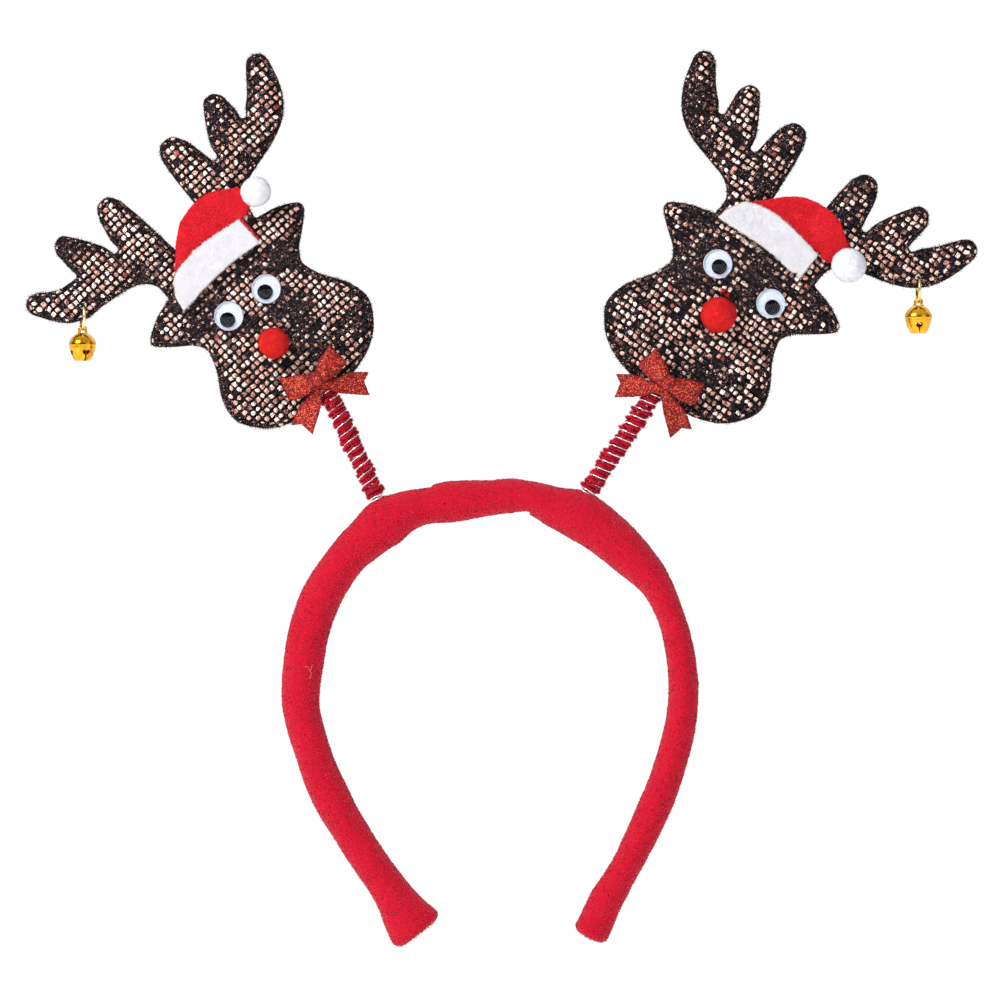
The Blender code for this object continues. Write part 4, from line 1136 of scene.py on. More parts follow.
def yarn_strands(placed, turns):
    """Two strands wound between the turns of the coil, each with its own wander and thickness."""
    yarn = Pile()
    for strand, lift in enumerate(YARN_LIFTS):
        steps = np.linspace(YARN_START, turns - YARN_END, int(turns * YARN_TURN_STEPS))
        lifts = COIL_PITCH * lift
        even = placed(coil_path(steps, YARN_COIL_RADIUS, lifts))
        share, cell = YARN_BEND
        radius = YARN_COIL_RADIUS + YARN_WANDER * noise(even, cell, YARN_RADIUS_SEED + strand)
        lifts = lifts + COIL_PITCH * share * noise(even, cell, YARN_LIFT_SEED + strand)
        path = placed(coil_path(steps, radius, lifts))
        spread = unit(placed(coil_path(steps, radius * 2, lifts)) - path)
        size = YARN_STRAND_RADIUS * (1 + waves(path, (*YARN_THICKNESS, YARN_SIZE_SEED + strand)))
        tone = 0.5 + waves(path, (*YARN_TONE, YARN_TONE_SEED + strand))
        add_tube(yarn, path, spread, size, WIRE_SIDES, tone)
    return yarn


def yarn_fuzz(yarn, foot, lean, rng):
    """Short fibres on the yarn, which stand away from the spring's axis."""
    roots, ways = yarn.scatter(YARN_FUZZ_COUNT, rng)
    axis = roots - foot
    along = axes(lean)[1]
    axis = unit(axis - (axis @ along)[:, None] * along)
    aims = ways * YARN_FUZZ_OUT + axis * YARN_FUZZ_ROUND + rng.normal(size=ways.shape) * YARN_FUZZ_STRAY
    lengths = uneven(YARN_FUZZ_LENGTH, YARN_FUZZ_BETA, len(roots), rng)
    fuzz = Pile()
    add_fibres(fuzz, roots, unit(aims), lengths, YARN_FUZZ_WIDTH, rng.random(len(roots)), rng, ways)
    return fuzz


def make_spring(side, materials):
    """The spring's local frame is across, out, up the spring, from the floor of its seat."""
    rng = np.random.default_rng(SEED + SIDES.index(side))
    lean = LEAN_DEG[side]
    low, high = node_box(f"{side}_spring_wire", lean)
    base = np.array(((low[0] + high[0]) / 2, low[1] - GAP, (low[2] + high[2]) / 2))
    length = high[1] - base[1]
    turns = CLOSE_TURNS + (length - coil_height(CLOSE_TURNS) - WIRE_RADIUS) / COIL_PITCH

    def placed(local):
        return to_world(local[:, (0, 2, 1)] + base, lean)

    steps = np.linspace(0, turns, int(turns * WIRE_TURN_STEPS))
    path = placed(coil_path(steps, COIL_RADIUS + WIRE_LOOK_OUT))
    spread = placed(coil_path(steps, COIL_RADIUS * 2)) - path
    wire = Pile()
    add_tube(wire, path, unit(spread), WIRE_RADIUS, WIRE_SIDES)
    make_piece(f"{side}_spring_coil", wire, materials["steel"], (f"{side}_spring_wire",))
    yarn = yarn_strands(placed, turns)
    fuzz = yarn_fuzz(yarn, placed(np.zeros((1, 3))), lean, rng)
    make_piece(f"{side}_yarn_strands", yarn, materials["yarn"], (f"{side}_spring_yarn",))
    make_piece(f"{side}_yarn_fuzz", fuzz, materials["yarn_fuzz"])


# Stray bits on the fabric, at places measured across and up

GLUE_THREADS = (((-0.0661, 0.0596), (-0.0644, 0.0606), (-0.0637, 0.0607)),
                ((-0.0630, 0.0498), (-0.0604, 0.0499), (-0.0589, 0.0496)))
HOOP_LINT = (((-0.0623, -0.0510), (-0.0607, -0.0503), (-0.0597, -0.0517), (-0.0590, -0.0497)),
             ((-0.0600, -0.0543), (-0.0593, -0.0530), (-0.0597, -0.0517)))
HOOP_LINT_LEVEL = -0.0078
NOSE_FLUFF = ((0.0780, 0.0750), (0.0793, 0.0733), (0.0740, 0.0610))
FLUFF_COUNT = 50
FLUFF_LENGTH = (0.0004, 0.0010)
FLUFF_WIDTH = 0.00016
FLUFF_STRAY = 0.0003
FLUFF_LIFT = 0.0004
FLUFF_OUT = 0.3
CRUMB_LINE = ((0.0808, 0.0946), (0.0910, 0.0880))
CRUMB_COUNT = 90
CRUMB_LENGTH = (0.0002, 0.0005)
CRUMB_WIDTH = 0.0003
CRUMB_STRAY = 0.0004
CRUMB_LIFTS = (0.0002, 0.0009)
STRAY_THREAD_RADIUS = 0.00004
STRAY_THREAD_SIDES = 5
STRAY_THREAD_STEPS = 6
STRAY_THREAD_TONE = 0.6
GLUE_LIFT = 0.0005
TO_FRONT = (0.0, -1.0, 0.0)


def add_stray_thread(pile, route, level):
    """A thin thread along a route on the front, at one level or at one for each point."""
    route = np.array(route)
    shares = np.linspace(0, 1, STRAY_THREAD_STEPS, endpoint=False)
    fine = [spline_at(route, i, share) for i in range(len(route) - 1) for share in shares]
    fine = np.array(fine + [route[-1]])
    levels = np.interp(np.linspace(0, 1, len(fine)), np.linspace(0, 1, len(route)),
                       np.broadcast_to(level, len(route)))
    path = np.column_stack((fine[:, 0], levels, fine[:, 1]))
    add_tube(pile, path, np.tile((0.0, 1.0, 0.0), (len(path), 1)), STRAY_THREAD_RADIUS, STRAY_THREAD_SIDES,
             STRAY_THREAD_TONE)


def front_level(field, side, middle, place):
    """Where the front of a head lies at a place measured across and up."""
    flat = to_local([(x, 0.0, z) for x, z in place], TILT_DEG[side])[:, :2]
    return -(middle + puffed_half(np.maximum(field.at(flat), 0)))


def make_hoop_lint(materials):
    pile = Pile()
    for route in HOOP_LINT:
        add_stray_thread(pile, route, HOOP_LINT_LEVEL)
    make_piece("hoop_lint", pile, materials["lint"])


def make_stray_bits(side, field, middle, materials, rng):
    """Glue threads on the left head; red fluff and glue crumbs on the right one."""
    pile = Pile()
    if side == "left":
        for route in GLUE_THREADS:
            add_stray_thread(pile, route, front_level(field, side, middle, route) - GLUE_LIFT)
        make_piece("left_glue_threads", pile, materials["glue"])
        return
    count = CRUMB_COUNT
    start, end = np.array(CRUMB_LINE)
    places = start + (end - start) * rng.random((count, 1)) + rng.normal(size=(count, 2)) * CRUMB_STRAY
    levels = front_level(field, side, middle, places) - rng.uniform(*CRUMB_LIFTS, count)
    roots = np.column_stack((places[:, 0], levels, places[:, 1]))
    ways = unit(rng.normal(size=roots.shape))
    lengths, tones = rng.uniform(*CRUMB_LENGTH, count), rng.random(count)
    add_spikes(pile, roots, ways, lengths, CRUMB_WIDTH, tones, rng, np.tile(TO_FRONT, (count, 1)))
    make_piece("right_glue_crumbs", pile, materials["glue"])
    fluff = Pile()
    count = FLUFF_COUNT
    for place in NOSE_FLUFF:
        places = np.array(place) + rng.normal(size=(count, 2)) * FLUFF_STRAY
        levels = front_level(field, side, middle, places) - FLUFF_LIFT
        roots = np.column_stack((places[:, 0], levels, places[:, 1]))
        ways = unit(rng.normal(size=roots.shape) * (1, FLUFF_OUT, 1) - (0, FLUFF_OUT, 0))
        lengths, tones = rng.uniform(*FLUFF_LENGTH, count), rng.random(count)
        add_spikes(fluff, roots, ways, lengths, FLUFF_WIDTH, tones, rng, np.tile(TO_FRONT, (count, 1)))
    make_piece("right_nose_fluff", fluff, materials["red_pile"])


# Reindeer heads

HEAD_STEP = 0.0012
HEAD_OUTLINE_STEP = 0.0006
CROTCH_RADIUS = 0.0013
HEAD_INSETS = (0.00018, 0.0004, 0.0008, 0.0012, 0.00155, 0.00195, 0.0025)
HEAD_RIPPLE = ((0.00012, 0.0035, 30), (0.00006, 0.0012, 31))
HEAD_RIPPLE_IN = 0.002
HEAD_MOTTLING = (0.5, 0.002, 32)
HEAD_RIM_SHADE = 0.4
HOLE_SIDES = 20


def puffed_half(distance):
    """Half the head's thickness at a distance from its rim, with the pressed seam."""
    share = np.minimum(distance / PUFF_REACH, 1.0)
    half = (RIM_THICKNESS + (PAD_THICKNESS - RIM_THICKNESS) * np.sin(math.pi / 2 * share)) / 2
    turn = np.clip(distance / RIM_ROUNDING, 0, 1)
    half = RIM_EDGE_HALF + (half - RIM_EDGE_HALF) * np.sqrt(1 - (1 - turn) ** 2)
    return half - SEAM_DEPTH * np.exp(-((distance - SEAM_INSET) / SEAM_WIDTH) ** 2)


def head_middle(side):
    low, high = node_box(f"{side}_head")
    return (low[2] + high[2]) / 2


def hole_outline(loop):
    """The ring's hole as a fine circle, with its centre."""
    centre = loop[:, :2].mean(0)
    radius = np.linalg.norm(loop[:, :2] - centre, axis=1).mean()
    turn = np.linspace(0, 2 * math.pi, HOLE_SIDES, endpoint=False)
    return centre + radius * np.stack((np.cos(turn), np.sin(turn)), 1), centre


def make_head(side, materials):
    rng = np.random.default_rng(SEED + HEAD_SEED + SIDES.index(side))
    tilt = TILT_DEG[side]
    loops = outline_loops(f"{side}_head", tilt)
    outline = smooth_loop(eased(loops[0], CROTCH_RADIUS), HEAD_OUTLINE_STEP, dent=NO_DENT_DEG)
    hole, hole_centre = hole_outline(loops[1])
    flat, faces = filled(outline, HEAD_STEP, HEAD_INSETS, hole)
    middle = head_middle(side)
    distance = edge_distance(outline, flat)
    place = at_level(flat, middle)
    ripple = waves(place, *HEAD_RIPPLE) * np.clip(distance / HEAD_RIPPLE_IN, 0, 1)
    # Painted shade darkens the knit between the rim and the pressed seam
    tone = 0.5 + waves(place, HEAD_MOTTLING) - HEAD_RIM_SHADE * (distance < SEAM_INSET)
    pile = Pile()
    add_pad(pile, flat, faces, puffed_half(distance) + ripple, middle, np.clip(tone, 0, 1))
    head = make_piece(f"{side}_head_fabric", turned(pile, tilt), materials["knit"],
                      (f"{side}_head",))
    field = Field(outline)
    make_sequins(side, field, hole_centre, middle, materials, rng)
    make_threads(side, field, middle, materials, rng)
    make_hairs(side, outline, middle, materials, rng)
    make_stray_bits(side, field, middle, materials, rng)


BARE_NOISE = 0.9
BARE_CELL = 0.009
BARE_PATCH_RISE = 1.4
BARE_PATCH_LEAST = 0.3


def bare_share(side, flat, seed):
    """From 0 to 1: how bare of sequins the fabric is at places on a head."""
    world = to_world(at_level(flat, 0), TILT_DEG[side])
    share = np.clip(BARE_NOISE * noise(world, BARE_CELL, seed + SIDES.index(side)), 0, 1)
    for across, up, reach in BARE_PATCHES[side]:
        away = np.hypot(world[:, 0] - across, world[:, 2] - up)
        share = np.maximum(share, np.clip(BARE_PATCH_RISE * (1 - away / reach) + BARE_PATCH_LEAST, 0, 1))
    return share


NUDGE = 0.0003


def surface_frame(field, flat, face, middle):
    """Points on a head's front or back, and their normals; face is 1 or -1."""
    base = puffed_half(np.maximum(field.at(flat), 0))
    slope = [(puffed_half(np.maximum(field.at(flat + step), 0)) - base) / NUDGE
             for step in ((NUDGE, 0), (0, NUDGE))]
    points = np.column_stack((flat, middle + face * base))
    normals = unit(np.column_stack((-slope[0], -slope[1], np.ones(len(flat)))))
    normals[:, 2] *= face
    return points, normals


def lattice(field):
    low = field.low
    high = low + np.array(field.grid.shape) * FIELD_CELL
    columns = np.arange(math.floor(low[0] / DOT_PITCH_ACROSS), math.ceil(high[0] / DOT_PITCH_ACROSS) + 1)
    rows = np.arange(math.floor(low[1] / DOT_PITCH_UP), math.ceil(high[1] / DOT_PITCH_UP) + 1)
    across, up = np.meshgrid(columns * DOT_PITCH_ACROSS, rows * DOT_PITCH_UP)
    return np.stack((across.ravel(), up.ravel()), 1)


def sequin_faces():
    """Triangles of one sequin: a middle point, an inner ring and an outer ring."""
    faces = []
    for k in range(DOT_SIDES):
        a, b = 1 + k, 1 + (k + 1) % DOT_SIDES
        c, d = a + DOT_SIDES, b + DOT_SIDES
        faces += [(0, a, b), (a, c, d), (a, d, b)]
    return np.array(faces)


DOT_CHANCE_NEAR = 0.7
DOT_CHANCE_LOST = 0.65
DOT_TILT = 0.16
DOT_SIZES = (0.82, 1.1)
DOT_BARE = 0.35
DOT_BARE_SIZES = (0.4, 0.95)
DOT_RIM_SIZES = (0.5, 0.95)
DOT_SKEW = 0.15
DOT_SQUARENESS = (0.1, 0.65)
DOT_RAGGED = 0.08
# Share of a sequin's size, and lift, of its inner and its outer ring
DOT_RINGS = ((0.78, DOT_LIFT + DOT_RISE * 0.8), (1.0, DOT_LIFT - 0.00008))
DOT_TONES = (1.6, 0.95)
DOT_RIM_SHADE = 0.15
DOT_BARE_SHADE = 0.1
DOT_RED = 0.012


def sequin_places(side, field, face, hole, rng):
    """Where one side of the head carries sequins, how near the rim and how bare it is there."""
    flat = lattice(field)
    flat = flat + rng.normal(size=flat.shape) * DOT_STRAY[side]
    flat = flat[field.at(flat) > DOT_EDGE_ROOM]
    bare = bare_share(side, flat, BARE_SEED[face])
    near = field.at(flat) < RIM_BAND
    chance = np.where(near, DOT_CHANCE_NEAR, DOT_CHANCE[side]) * (1 - DOT_CHANCE_LOST * bare)
    keep = (rng.random(len(flat)) < chance) & (np.hypot(*(flat - hole).T) > HOLE_ROOM)
    return flat[keep], near[keep], bare[keep]


def sequin_shapes(near, bare, rng):
    """How far across and up each sequin's rim lies from its middle."""
    count = len(near)
    turn = np.linspace(0, 2 * math.pi, DOT_SIDES, endpoint=False)
    square = 1 / np.maximum(np.abs(np.cos(turn)), np.abs(np.sin(turn)))
    half = DOT_HALF * rng.uniform(*DOT_SIZES, (count, 2))
    half *= np.where(bare > DOT_BARE, rng.uniform(*DOT_BARE_SIZES, count), 1.0)[:, None]
    half[near] *= DOT_RIM_SIZES
    skew = rng.normal(size=(count, 1)) * DOT_SKEW
    spread = 1 + (square - 1)[None] * rng.uniform(*DOT_SQUARENESS, (count, 1))
    spread = spread + rng.normal(size=(count, DOT_SIDES)) * DOT_RAGGED
    across = np.cos(turn)[None] * spread * half[:, :1]
    return across, np.sin(turn)[None] * spread * half[:, 1:] + across * skew


def make_sequins(side, field, hole, middle, materials, rng):
    for face, label in ((1, "front"), (-1, "back")):
        flat, near, bare = sequin_places(side, field, face, hole, rng)
        count = len(flat)
        points, normals = surface_frame(field, flat, face, middle)
        normals = unit(normals + at_level(rng.normal(size=(count, 2)) * DOT_TILT, 0))
        inward = np.where(near[:, None], field.slope(flat), (1.0, 0.0))
        first = flattened(at_level(inward, 0), normals)
        second = np.cross(normals, first)
        across, up = sequin_shapes(near, bare, rng)
        rings = [(points + normals * (DOT_LIFT + DOT_RISE))[:, None]]
        for share, lift in DOT_RINGS:
            rings.append(points[:, None] + first[:, None] * across[:, :, None] * share
                         + second[:, None] * up[:, :, None] * share + normals[:, None] * lift)
        sequins = np.concatenate(rings, axis=1)
        each = sequins.shape[1]
        # Tone: partly the foil's own colour, partly painted reflection, with painted shade near the rim and
        # where fibres cover bare places
        tone = rng.beta(*DOT_TONES, count) - DOT_RIM_SHADE * near - DOT_BARE_SHADE * bare
        red = (rng.random(count) < DOT_RED).astype(float)
        pile = Pile()
        pile.add(sequins, copies(sequin_faces(), count, each), np.repeat(np.clip(tone, 0, 1), each),
                 np.repeat(red, each))
        add_chips(pile, side, field, face, middle, rng)
        turned(pile, TILT_DEG[side])
        make_piece(f"{side}_sequins_{label}", pile, materials["foil"])


CHIP_COUNT = {1: 4600, -1: 2300}
CHIP_HALF = (0.00010, 0.00036)
CHIP_NARROW = (0.3, 0.8)
CHIP_TILT = 0.2
CHIP_LIFTS = (0.00012, 0.0003)
CHIP_ROOM = 0.0003
CHIP_RIM_SHARE = 0.8
CHIP_TONES = (0.8, 3.2)
CHIP_RED = 0.05
# Corners of a sliver, as shares of its half length and half width
CHIP_CORNERS = ((-1.0, -0.6), (0.7, -1.0), (1.0, 0.7), (-0.8, 1.0))
TRIES = 8
COVERED_SHARE = 0.25


def loose_places(side, field, face, room, rim_share, count, rng):
    """Places on a head, most of them where it is bare and along its rim."""
    high = field.low + np.array(field.grid.shape) * FIELD_CELL
    flat = rng.uniform(field.low, high, (count * TRIES, 2))
    flat = flat[field.at(flat) > room]
    share = COVERED_SHARE + (1 - COVERED_SHARE) * bare_share(side, flat, BARE_SEED[face])
    share = np.where(field.at(flat) < RIM_BAND, np.maximum(share, rim_share), share)
    return flat[rng.random(len(flat)) < share][:count]


def add_chips(pile, side, field, face, middle, rng):
    """Slivers of foil that show between the fibres, more of them where the sequins are hidden."""
    flat = loose_places(side, field, face, CHIP_ROOM, CHIP_RIM_SHARE, CHIP_COUNT[face], rng)
    count = len(flat)
    points, normals = surface_frame(field, flat, face, middle)
    normals = unit(normals + rng.normal(size=normals.shape) * CHIP_TILT)
    first = unit(np.cross(normals, rng.normal(size=normals.shape)))
    second = np.cross(normals, first)
    long_half = rng.uniform(*CHIP_HALF, (count, 1))
    wide_half = long_half * rng.uniform(*CHIP_NARROW, (count, 1))
    centres = points + normals * rng.uniform(*CHIP_LIFTS, (count, 1))
    corners = [centres + first * long_half * a + second * wide_half * b for a, b in CHIP_CORNERS]
    tones = rng.beta(*CHIP_TONES, count)
    red = (rng.random(count) < CHIP_RED).astype(float)
    pile.add(np.stack(corners, axis=1), copies(((0, 1, 2), (0, 2, 3)), count, 4), np.repeat(tones, 4),
             np.repeat(red, 4))


STRAND_WIDTH = 0.00036
STRAND_STRAY = (0.00005, 0.00030)
STRAND_POINTS = 4
STRAND_LOOSE = 0.15
STRAND_REACH = 0.56
STRAND_ROOM = 0.0002
STRAND_LIFT = 0.00016
STRAND_LIFT_STRAY = 0.00012
STRAND_WIDTHS = (0.6, 1.15)
STRAND_TONES = (1.3, 3.2)
# Where the strands sit on the fibres' painted shade from root to tip
STRAND_BLEND = 0.3
FUZZ_COUNT = {1: 20000, -1: 8000}
FUZZ_LENGTH = (0.0005, 0.0017)
FUZZ_WIDTH = 0.00017
FUZZ_ROOM = 0.0002
FUZZ_RIM_SHARE = 0.5
FUZZ_RISE = (0.0, 0.3)
FUZZ_LIFTS = (0.0001, 0.00035)
FUZZ_TONES = (0.8, 2.2)


def make_threads(side, field, middle, materials, rng):
    """Black strands between the sequins, and loose fibres over them."""
    pile = Pile()
    for face in (1, -1):
        add_strands(pile, field, face, middle, rng)
        add_fuzz(pile, side, field, face, middle, rng)
    make_piece(f"{side}_threads", turned(pile, TILT_DEG[side]), materials["thread"])


def add_strands(pile, field, face, middle, rng):
    """The net of strands that runs between the rows of sequins."""
    centres = lattice(field)
    shares = np.linspace(-STRAND_REACH, STRAND_REACH, STRAND_POINTS)
    pitch = np.array((DOT_PITCH_ACROSS, DOT_PITCH_UP))
    for way, other in (((1.0, 0.0), (0.0, 1.0)), ((0.0, 1.0), (1.0, 0.0))):
        way, other = np.array(way), np.array(other)
        stray = np.where(rng.random((len(centres), 1)) < STRAND_LOOSE, STRAND_STRAY[1], STRAND_STRAY[0])
        wander = rng.normal(size=(len(centres), STRAND_POINTS)) * stray
        flat = (centres + way * pitch / 2)[:, None] + (other * pitch) * shares[None, :, None]
        flat = flat + way * wander[:, :, None]
        keep = (field.at(flat.reshape(-1, 2)).reshape(-1, STRAND_POINTS) > STRAND_ROOM).all(1)
        add_ribbons(pile, flat[keep], way, field, face, middle, rng)


def add_ribbons(pile, flat, way, field, face, middle, rng):
    """Thin flat strips through a few points each, lying on the fabric."""
    count = len(flat)
    points, normals = surface_frame(field, flat.reshape(-1, 2), face, middle)
    lift = STRAND_LIFT + rng.random((count, 1, 1)) * STRAND_LIFT_STRAY
    normals = normals.reshape(count, STRAND_POINTS, 3)
    points = points.reshape(count, STRAND_POINTS, 3) + normals * lift
    half = np.append(way, 0.0) * STRAND_WIDTH / 2 * rng.uniform(*STRAND_WIDTHS, (count, STRAND_POINTS, 1))
    rows = np.stack((points - half, points + half), axis=2)
    each = STRAND_POINTS * 2
    faces = copies(grid_faces(STRAND_POINTS, 2, False), count, each)
    tones = rng.beta(*STRAND_TONES, count)
    pile.add(rows, faces, np.repeat(tones, each), STRAND_BLEND, np.repeat(normals.reshape(-1, 3), 2, axis=0))


def add_fuzz(pile, side, field, face, middle, rng):
    """Loose fibres lying on the fabric."""
    flat = loose_places(side, field, face, FUZZ_ROOM, FUZZ_RIM_SHARE, FUZZ_COUNT[face], rng)
    count = len(flat)
    points, normals = surface_frame(field, flat, face, middle)
    tangent = unit(at_level(rng.normal(size=(count, 2)), 0))
    ways = unit(tangent + normals * rng.uniform(*FUZZ_RISE, (count, 1)))
    tones = rng.beta(*FUZZ_TONES, count)
    roots = points + normals * rng.uniform(*FUZZ_LIFTS, (count, 1))
    add_fibres(pile, roots, ways, rng.uniform(*FUZZ_LENGTH, count), FUZZ_WIDTH, tones, rng, normals)


HAIR_COUNT = 10000
HAIR_LENGTH = (0.0003, 0.0020)
HAIR_WIDTH = 0.00012
HAIR_BETA = (1.1, 4.2)
HAIR_SUNK = 0.0002
HAIR_SPREAD = 0.0003
HAIR_LEVELS = (-0.0006, 0.0006)
HAIR_OUT = 0.7
HAIR_STRAY = 0.55
HAIR_LEAST = 0.85
HAIR_UNEVEN = (0.6, 0.006, 80)
HAIR_TONE = 0.6
HAIR_FACING = 0.3


def make_hairs(side, outline, middle, materials, rng):
    """Frayed fibres that stick out round the rim."""
    count = HAIR_COUNT
    pick = rng.integers(0, len(outline), count)
    outward = outward_of(outline)[pick]
    along = np.column_stack((outward[:, 1], -outward[:, 0])) * rng.normal(size=(count, 1)) * HAIR_SPREAD
    roots = at_level(outline[pick] - outward * HAIR_SUNK + along, middle + rng.uniform(*HAIR_LEVELS, count))
    ways = unit(at_level(outward, 0) * HAIR_OUT + rng.normal(size=(count, 3)) * HAIR_STRAY)
    lengths = uneven(HAIR_LENGTH, HAIR_BETA, count, rng) * (HAIR_LEAST + waves(roots, HAIR_UNEVEN))
    facing = unit(at_level(outward * HAIR_FACING, 1))
    pile = Pile()
    add_fibres(pile, roots, ways, lengths, HAIR_WIDTH, rng.random(count) * HAIR_TONE, rng, facing)
    make_piece(f"{side}_rim_hairs", turned(pile, TILT_DEG[side]), materials["thread"])


# Hats

FELT_THICKNESS = 0.0014
FELT_ROUNDING = 0.0004
# Share of the thickness that the edge keeps, and the share that is rounded off
FELT_EDGE_SHARES = (0.72, 0.28)
FELT_OUTLINE_STEP = 0.0007
FELT_STEP = 0.0012
FELT_INSETS = (0.00015, 0.0004, 0.0009)
FELT_WOBBLE = (0.00012, 0.0011, 50)
FELT_BUMPS = (0.00007, 0.0016, 51)
FELT_MOTTLING = (0.5, 0.003, 52)
FELT_EDGE_TINT = 0.0003
FELT_NAP_COUNT = 20000
FELT_NAP_LENGTH = (0.0004, 0.0012)
FELT_NAP_WIDTH = 0.00011
FELT_NAP_STRAY = 0.7
FELT_FLOW = (0.002, 53)
FELT_NAP_RISE = (0.0, 0.35)
# How far up or across an edge has to face to count as the lower or the right one
EDGE_FACING = 0.3
CUFF_COVER = 0.0009
CUFF_END_COVER = 0.0020
# The hat's edge near the pompom, in shares of the pompom's radius
POMPOM_REACH = (0.8, 1.6)
POMPOM_FACING = 0.5
POMPOM_COVER = 0.6
# The torn corner of the right cuff, across and up
TORN_CORNER = (0.1033, 0.0794)
TORN_AWAY = 0.0016
TORN_REACH = 0.0006
TORN_DEPTH = 0.0013


def felt_half(distance):
    """Half the felt's thickness at a distance from its rounded edge."""
    turn = np.clip(distance / FELT_ROUNDING, 0, 1)
    kept, rounded = FELT_EDGE_SHARES
    return FELT_THICKNESS / 2 * (kept + rounded * np.sqrt(1 - (1 - turn) ** 2))


def tucked_in(side, outline, outward):
    """The hat's outline, drawn in under the cuff's lower edge and under the pompom."""
    tilt = TILT_DEG[side]
    cuff = smooth_loop(outline_loops(f"{side}_hat_cuff", tilt)[0], FELT_OUTLINE_STEP)
    covered = is_inside(cuff, outline) | (edge_distance(cuff, outline) < CUFF_COVER)
    lower = covered & (outward[:, 1] < -EDGE_FACING)
    outline = np.where(lower[:, None], outline - outward * CUFF_COVER, outline)
    if side == "right":
        end = (edge_distance(cuff, outline) < CUFF_END_COVER) & (outward[:, 0] > EDGE_FACING)
        outline = np.where(end[:, None], outline - outward * CUFF_END_COVER, outline)
    low, high = node_box(f"{side}_hat_pompom", tilt)
    centre, radius = (low[:2] + high[:2]) / 2, (high[0] - low[0]) / 2
    away = outline - centre
    far = np.linalg.norm(away, axis=1)
    beyond = (far > radius * POMPOM_REACH[0]) & (far < radius * POMPOM_REACH[1])
    beyond &= (away * outward).sum(1) > far * POMPOM_FACING
    return np.where(beyond[:, None], centre + unit(away) * radius * POMPOM_COVER, outline)


def felt_outline(side, part, tilt):
    """The outline of a felt piece, slightly wavy, tucked in or torn where it is so."""
    outline = smooth_loop(outline_loops(f"{side}_{part}", tilt)[0], FELT_OUTLINE_STEP)
    outward = outward_of(outline)
    outline = outline + outward * waves(to_world(at_level(outline, 0), tilt), FELT_WOBBLE)[:, None]
    if part == "hat":
        return tucked_in(side, outline, outward)
    if side == "left":
        return outline
    torn = to_local(((TORN_CORNER[0], 0.0, TORN_CORNER[1]),), tilt)[0, :2]
    away = np.linalg.norm(outline - torn, axis=1)
    notch = TORN_DEPTH * np.exp(-((away - TORN_AWAY) / TORN_REACH) ** 2) * (outward[:, 1] < -EDGE_FACING)
    return outline - outward * notch[:, None]


def felt_nap(pile, rng):
    roots, ways = pile.scatter(FELT_NAP_COUNT, rng)
    flow = rng.normal(size=ways.shape) * FELT_NAP_STRAY + drift(roots, *FELT_FLOW)
    tangent = flattened(unit(flow), ways)
    count = len(roots)
    aims = unit(tangent + ways * rng.uniform(*FELT_NAP_RISE, (count, 1)))
    lengths, tones = rng.uniform(*FELT_NAP_LENGTH, count), rng.random(count)
    nap = Pile()
    add_fibres(nap, roots, aims, lengths, FELT_NAP_WIDTH, tones, rng, ways)
    return nap


def make_felt(side, part, look, materials):
    rng = np.random.default_rng(SEED + FELT_SEED + SIDES.index(side))
    name = f"{side}_{part}"
    tilt = TILT_DEG[side]
    low, high = node_box(name, tilt)
    middle = (low[2] + high[2]) / 2
    outline = felt_outline(side, part, tilt)
    flat, faces = filled(outline, FELT_STEP, FELT_INSETS)
    distance = edge_distance(outline, flat)
    place = at_level(flat, middle)
    pile = Pile()
    add_pad(pile, flat, faces, felt_half(distance) + waves(place, FELT_BUMPS), middle,
            0.5 + waves(place, FELT_MOTTLING), np.exp(-distance / FELT_EDGE_TINT))
    felt = make_piece(f"{name}_felt", turned(pile, tilt), materials[look], (name,))
    make_piece(f"{name}_nap", felt_nap(pile, rng), materials[f"{look}_nap"])


# Pompoms

POMPOM_FIBRES = 15000
POMPOM_ROWS = 60
POMPOM_SIDES = 96
POMPOM_SIZE = 0.955
# Noise on a pompom: height, cell, and what is added to the pompom's own seed
BALL_SEED = 2
FLOW_SEED = 3
FIBRE_SEED = 7
POMPOM_LUMPS = ((0.02, 0.004, 0), (0.01, 0.0008, 1))
POMPOM_MOTTLING = (0.2, 0.0012)
POMPOM_FLOW_CELL = 0.0012
POMPOM_STRAY = 0.8
POMPOM_RISE = (0.05, 0.75)
POMPOM_FIBRE_LENGTH = (0.07, 0.15)
POMPOM_FIBRE_WIDTH = 0.00011
POMPOM_FIBRE_SUNK = 0.00005
POMPOM_TONE_STRAY = 0.15
# Where the ball's surface sits on the fibres' painted shade from root to tip
POMPOM_BLEND = 0.6
POMPOM_FOOT = 0.0002


